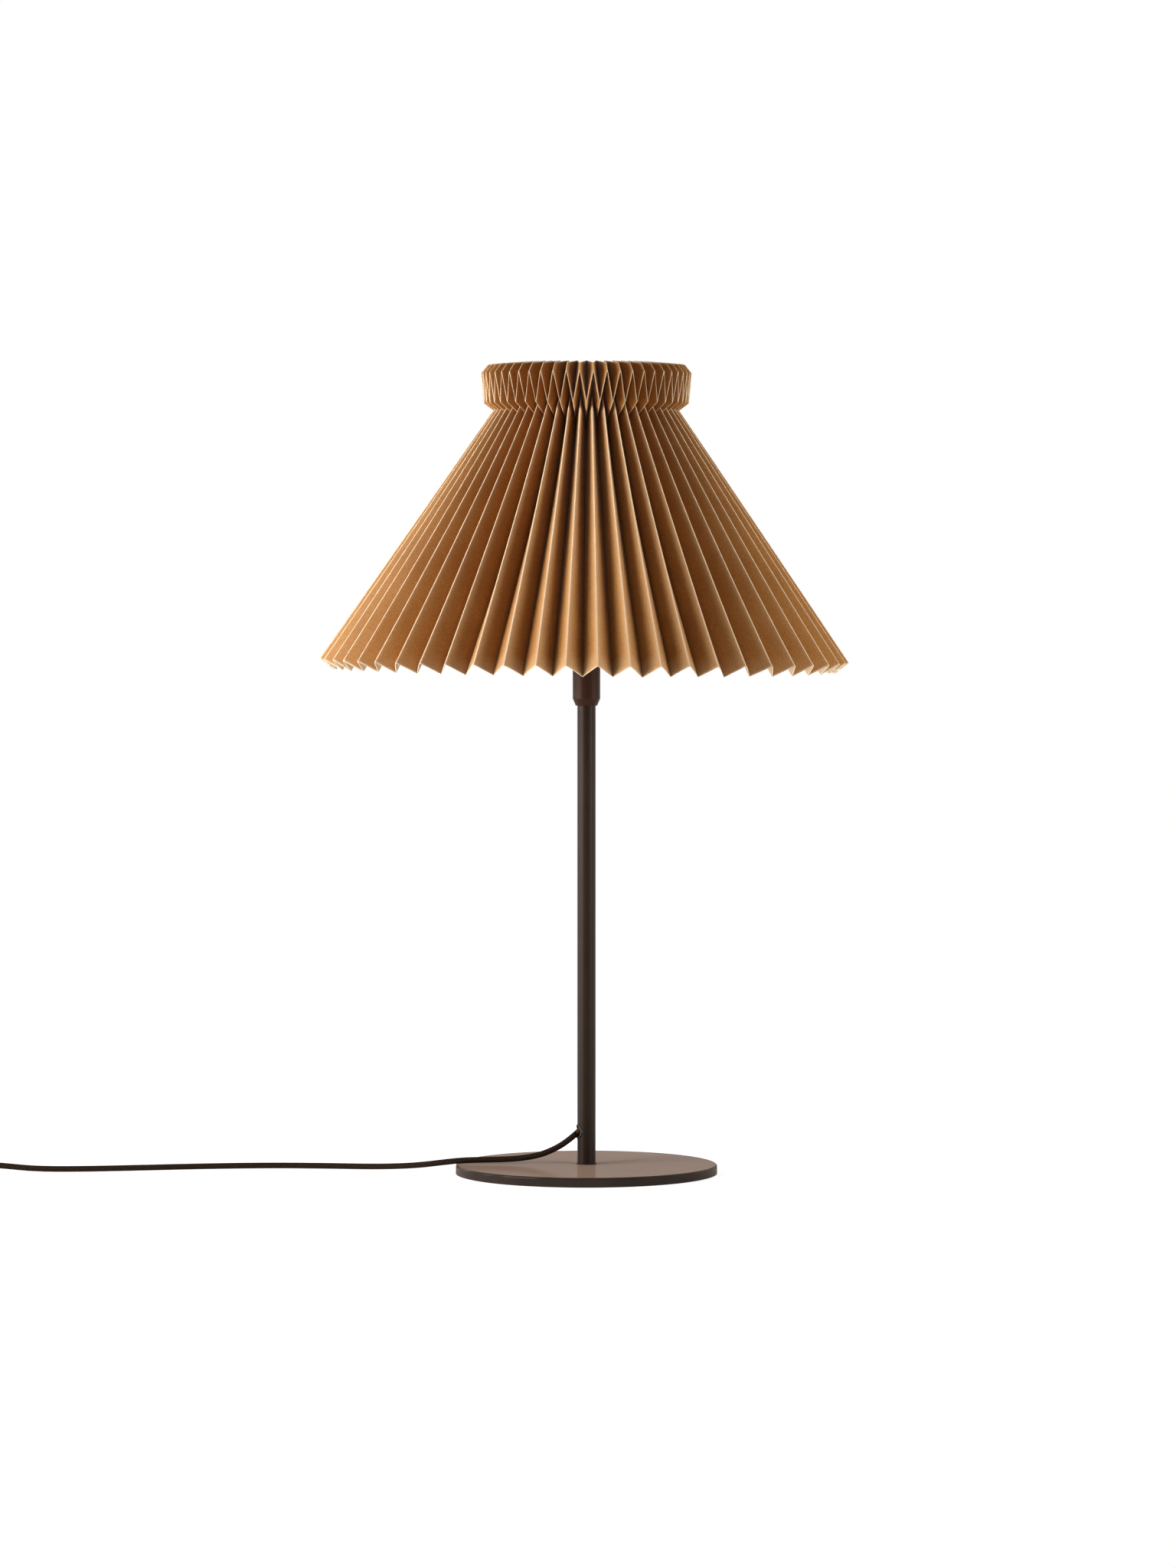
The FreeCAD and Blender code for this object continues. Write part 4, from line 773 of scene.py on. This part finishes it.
def make_shade():
    """One sheet of pleated paper with its thickness, rounded folds and cut edges."""
    rows = sheet_rows()
    layers = np.array([row_layers(*row) for row in rows])
    # From (row, face, layer, column) to (layer, face, row, column).
    rooms, creases, painted_lights, painted_shades = layers.transpose(2, 1, 0, 3)
    places = sheet_skins(rows, rooms).reshape(-1, 3)
    number = np.arange(rooms[0].size).reshape(rooms[0].shape)
    beside = np.roll(number, -1, axis=1)
    skin = number.size      # from a point's number on the outer face to the same one's inside
    outer = np.stack([number[:-1], beside[:-1], beside[1:], number[1:]], -1).reshape(-1, 4)
    inner = outer[:, ::-1] + skin
    rim = np.stack([number[0] + skin, beside[0] + skin, beside[0], number[0]], -1)
    hem = np.stack([number[-1], beside[-1], beside[-1] + skin, number[-1] + skin], -1)
    faces = np.concatenate([outer, inner, rim, hem])
    mesh = bpy.data.meshes.new("paper_sheet")
    mesh.from_pydata(places.tolist(), [], faces.tolist())
    for name, numbers in (("crease", creases), ("painted_light", painted_lights), ("painted_shade", painted_shades)):
        layer = mesh.attributes.new(name, "FLOAT", "POINT")
        layer.data.foreach_set("value", numbers.ravel().astype(np.float32))
    mesh.materials.append(FINISHES["kraft_paper"])
    mesh.materials.append(paper_core())
    cut = np.zeros(len(faces), np.int32)
    cut[len(outer) + len(inner):] = 1
    mesh.polygons.foreach_set("material_index", cut)
    mesh.shade_smooth()
    sharpen_cut_edges(mesh, *number.shape)
    piece = add_piece("pleated_paper", mesh, "shade", "kraft_paper")
    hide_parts("paper_shade")


def sharpen_cut_edges(mesh, rows, columns):
    """Keep the cut edges crisp: no smoothing between the faces and the strips that join them."""
    ends = np.empty(2 * len(mesh.edges), np.int32)
    mesh.edges.foreach_get("vertices", ends)
    skin, place = np.divmod(ends.reshape(-1, 2), rows * columns)
    at_cut = np.isin(place // columns, (0, rows - 1)).all(axis=1)
    layer = mesh.attributes.new("sharp_edge", "BOOLEAN", "EDGE")
    layer.data.foreach_set("value", at_cut & (skin[:, 0] == skin[:, 1]))


# ---- stage and light ----------------------------------------------------------

FLOOR_HALF = 30.0
FLOOR_PALE = (0.8, 0.8, 0.8)    # its colour for the light that it sends back
# What is seen of it: near the lamp a glow with a share of its light, which keeps the shadow, and
# plain white further out, from the first distance to the second.
SHADOW_SHARE = 0.30
FLOOR_GLOW = 0.84
FLOOR_FADE = (0.25, 1.1)

WORLD_BACK = 0.75       # level of the white backdrop behind the lamp
WORLD_FRONT = 0.05      # level of the dim room behind the viewer
BACKDROP_SPAN = (-0.1, 0.4)     # where the one turns into the other, as a way's Y

LIGHTS = [
    # name, place, aimed at, width, height, watts
    ("left_softbox", (-1.55, -0.8, 0.65), (0, 0, 0.45), 1.1, 1.0, 44),
    ("right_softbox", (1.6, -0.8, 0.7), (0, 0, 0.45), 1.0, 0.9, 23),
    ("top_softbox", (-0.3, -0.6, 2.9), (0, 0, 0.4), 1.0, 1.0, 5),
    ("back_softbox", (-1.5, 1.8, 0.9), (0, 0, 0.3), 0.6, 0.6, 9),
    ("side_strip", (-1.75, 0.2, 0.42), (0, 0, 0.2), 0.35, 0.8, 7),
]


def greatest(tree, *numbers):
    """The greatest of some numbers."""
    result = numbers[0]
    for number in numbers[1:]:
        result = calculate(tree, "MAXIMUM", result, number)
    return result


def floor_material():
    """Pale for the light it sends back, and nearly white where it is seen."""
    material = bpy.data.materials.new("floor")
    material.use_nodes = True
    tree = material.node_tree
    tree.nodes.clear()
    place = place_of(tree)
    far = add_node(tree, "ShaderNodeVectorMath", {0: place}, operation="LENGTH").outputs["Value"]
    fade = span(tree, far, *FLOOR_FADE)
    plain = add_node(tree, "ShaderNodeBsdfDiffuse", {"Color": opaque(FLOOR_PALE)})
    held = add_node(tree, "ShaderNodeBsdfDiffuse", {"Color": opaque([SHADOW_SHARE] * 3)})
    glow = add_node(tree, "ShaderNodeEmission", {"Strength": FLOOR_GLOW})
    white = add_node(tree, "ShaderNodeEmission", {"Strength": 1.0})
    near = add_node(tree, "ShaderNodeAddShader", {0: held.outputs[0], 1: glow.outputs[0]})
    links = {0: fade, 1: near.outputs[0], 2: white.outputs[0]}
    shown = add_node(tree, "ShaderNodeMixShader", links)
    rays = add_node(tree, "ShaderNodeLightPath").outputs
    seen = greatest(tree, rays["Is Camera Ray"], rays["Is Glossy Ray"], rays["Is Transmission Ray"])
    links = {0: seen, 1: plain.outputs[0], 2: shown.outputs[0]}
    both = add_node(tree, "ShaderNodeMixShader", links)
    add_node(tree, "ShaderNodeOutputMaterial", {"Surface": both.outputs[0]})
    return material


def make_floor():
    """A white floor that keeps the lamp's soft shadow."""
    corners = [(x * FLOOR_HALF, y * FLOOR_HALF, 0) for x, y in ((-1, -1), (1, -1), (1, 1), (-1, 1))]
    mesh = bpy.data.meshes.new("floor")
    mesh.from_pydata(corners, [], [(0, 1, 2, 3)])
    mesh.materials.append(floor_material())
    floor = bpy.data.objects.new("floor", mesh)
    bpy.context.scene.collection.objects.link(floor)


def make_world():
    """White to the camera. Its light comes from the white backdrop behind the lamp."""
    world = bpy.data.worlds.new("studio")
    bpy.context.scene.world = world
    world.use_nodes = True
    tree = world.node_tree
    tree.nodes.clear()
    way = add_node(tree, "ShaderNodeTexCoord").outputs["Generated"]
    depth = add_node(tree, "ShaderNodeSeparateXYZ", {0: way}).outputs["Y"]
    backdrop = span(tree, depth, *BACKDROP_SPAN)
    level = calculate(tree, "MULTIPLY_ADD", backdrop, WORLD_BACK - WORLD_FRONT, WORLD_FRONT)
    rays = add_node(tree, "ShaderNodeLightPath").outputs
    mirrored = calculate(tree, "MULTIPLY", rays["Is Glossy Ray"], backdrop)
    strength = greatest(tree, level, mirrored, rays["Is Camera Ray"], rays["Is Transmission Ray"])
    links = {"Color": (1, 1, 1, 1), "Strength": strength}
    background = add_node(tree, "ShaderNodeBackground", links)
    add_node(tree, "ShaderNodeOutputWorld", {"Surface": background.outputs[0]})


def make_lights():
    """Soft boxes on both sides, stronger on the left, and weak ones above and at the back left.

    A strip on the left draws a bright line along the base's and the stem's left edges.
    """
    for name, place, aim, width, height, watts in LIGHTS:
        data = bpy.data.lights.new(name, "AREA")
        data.shape = "RECTANGLE"
        data.size, data.size_y = width, height
        data.energy = watts
        light = bpy.data.objects.new(name, data)
        bpy.context.scene.collection.objects.link(light)
        light.location = place
        light.rotation_euler = (Vector(aim) - Vector(place)).to_track_quat("-Z", "Y").to_euler()


make_camera()
dress_nodes()
make_cords()
make_shade()
make_floor()
make_world()
make_lights()
bpy.context.scene.view_settings.view_transform = "Standard"
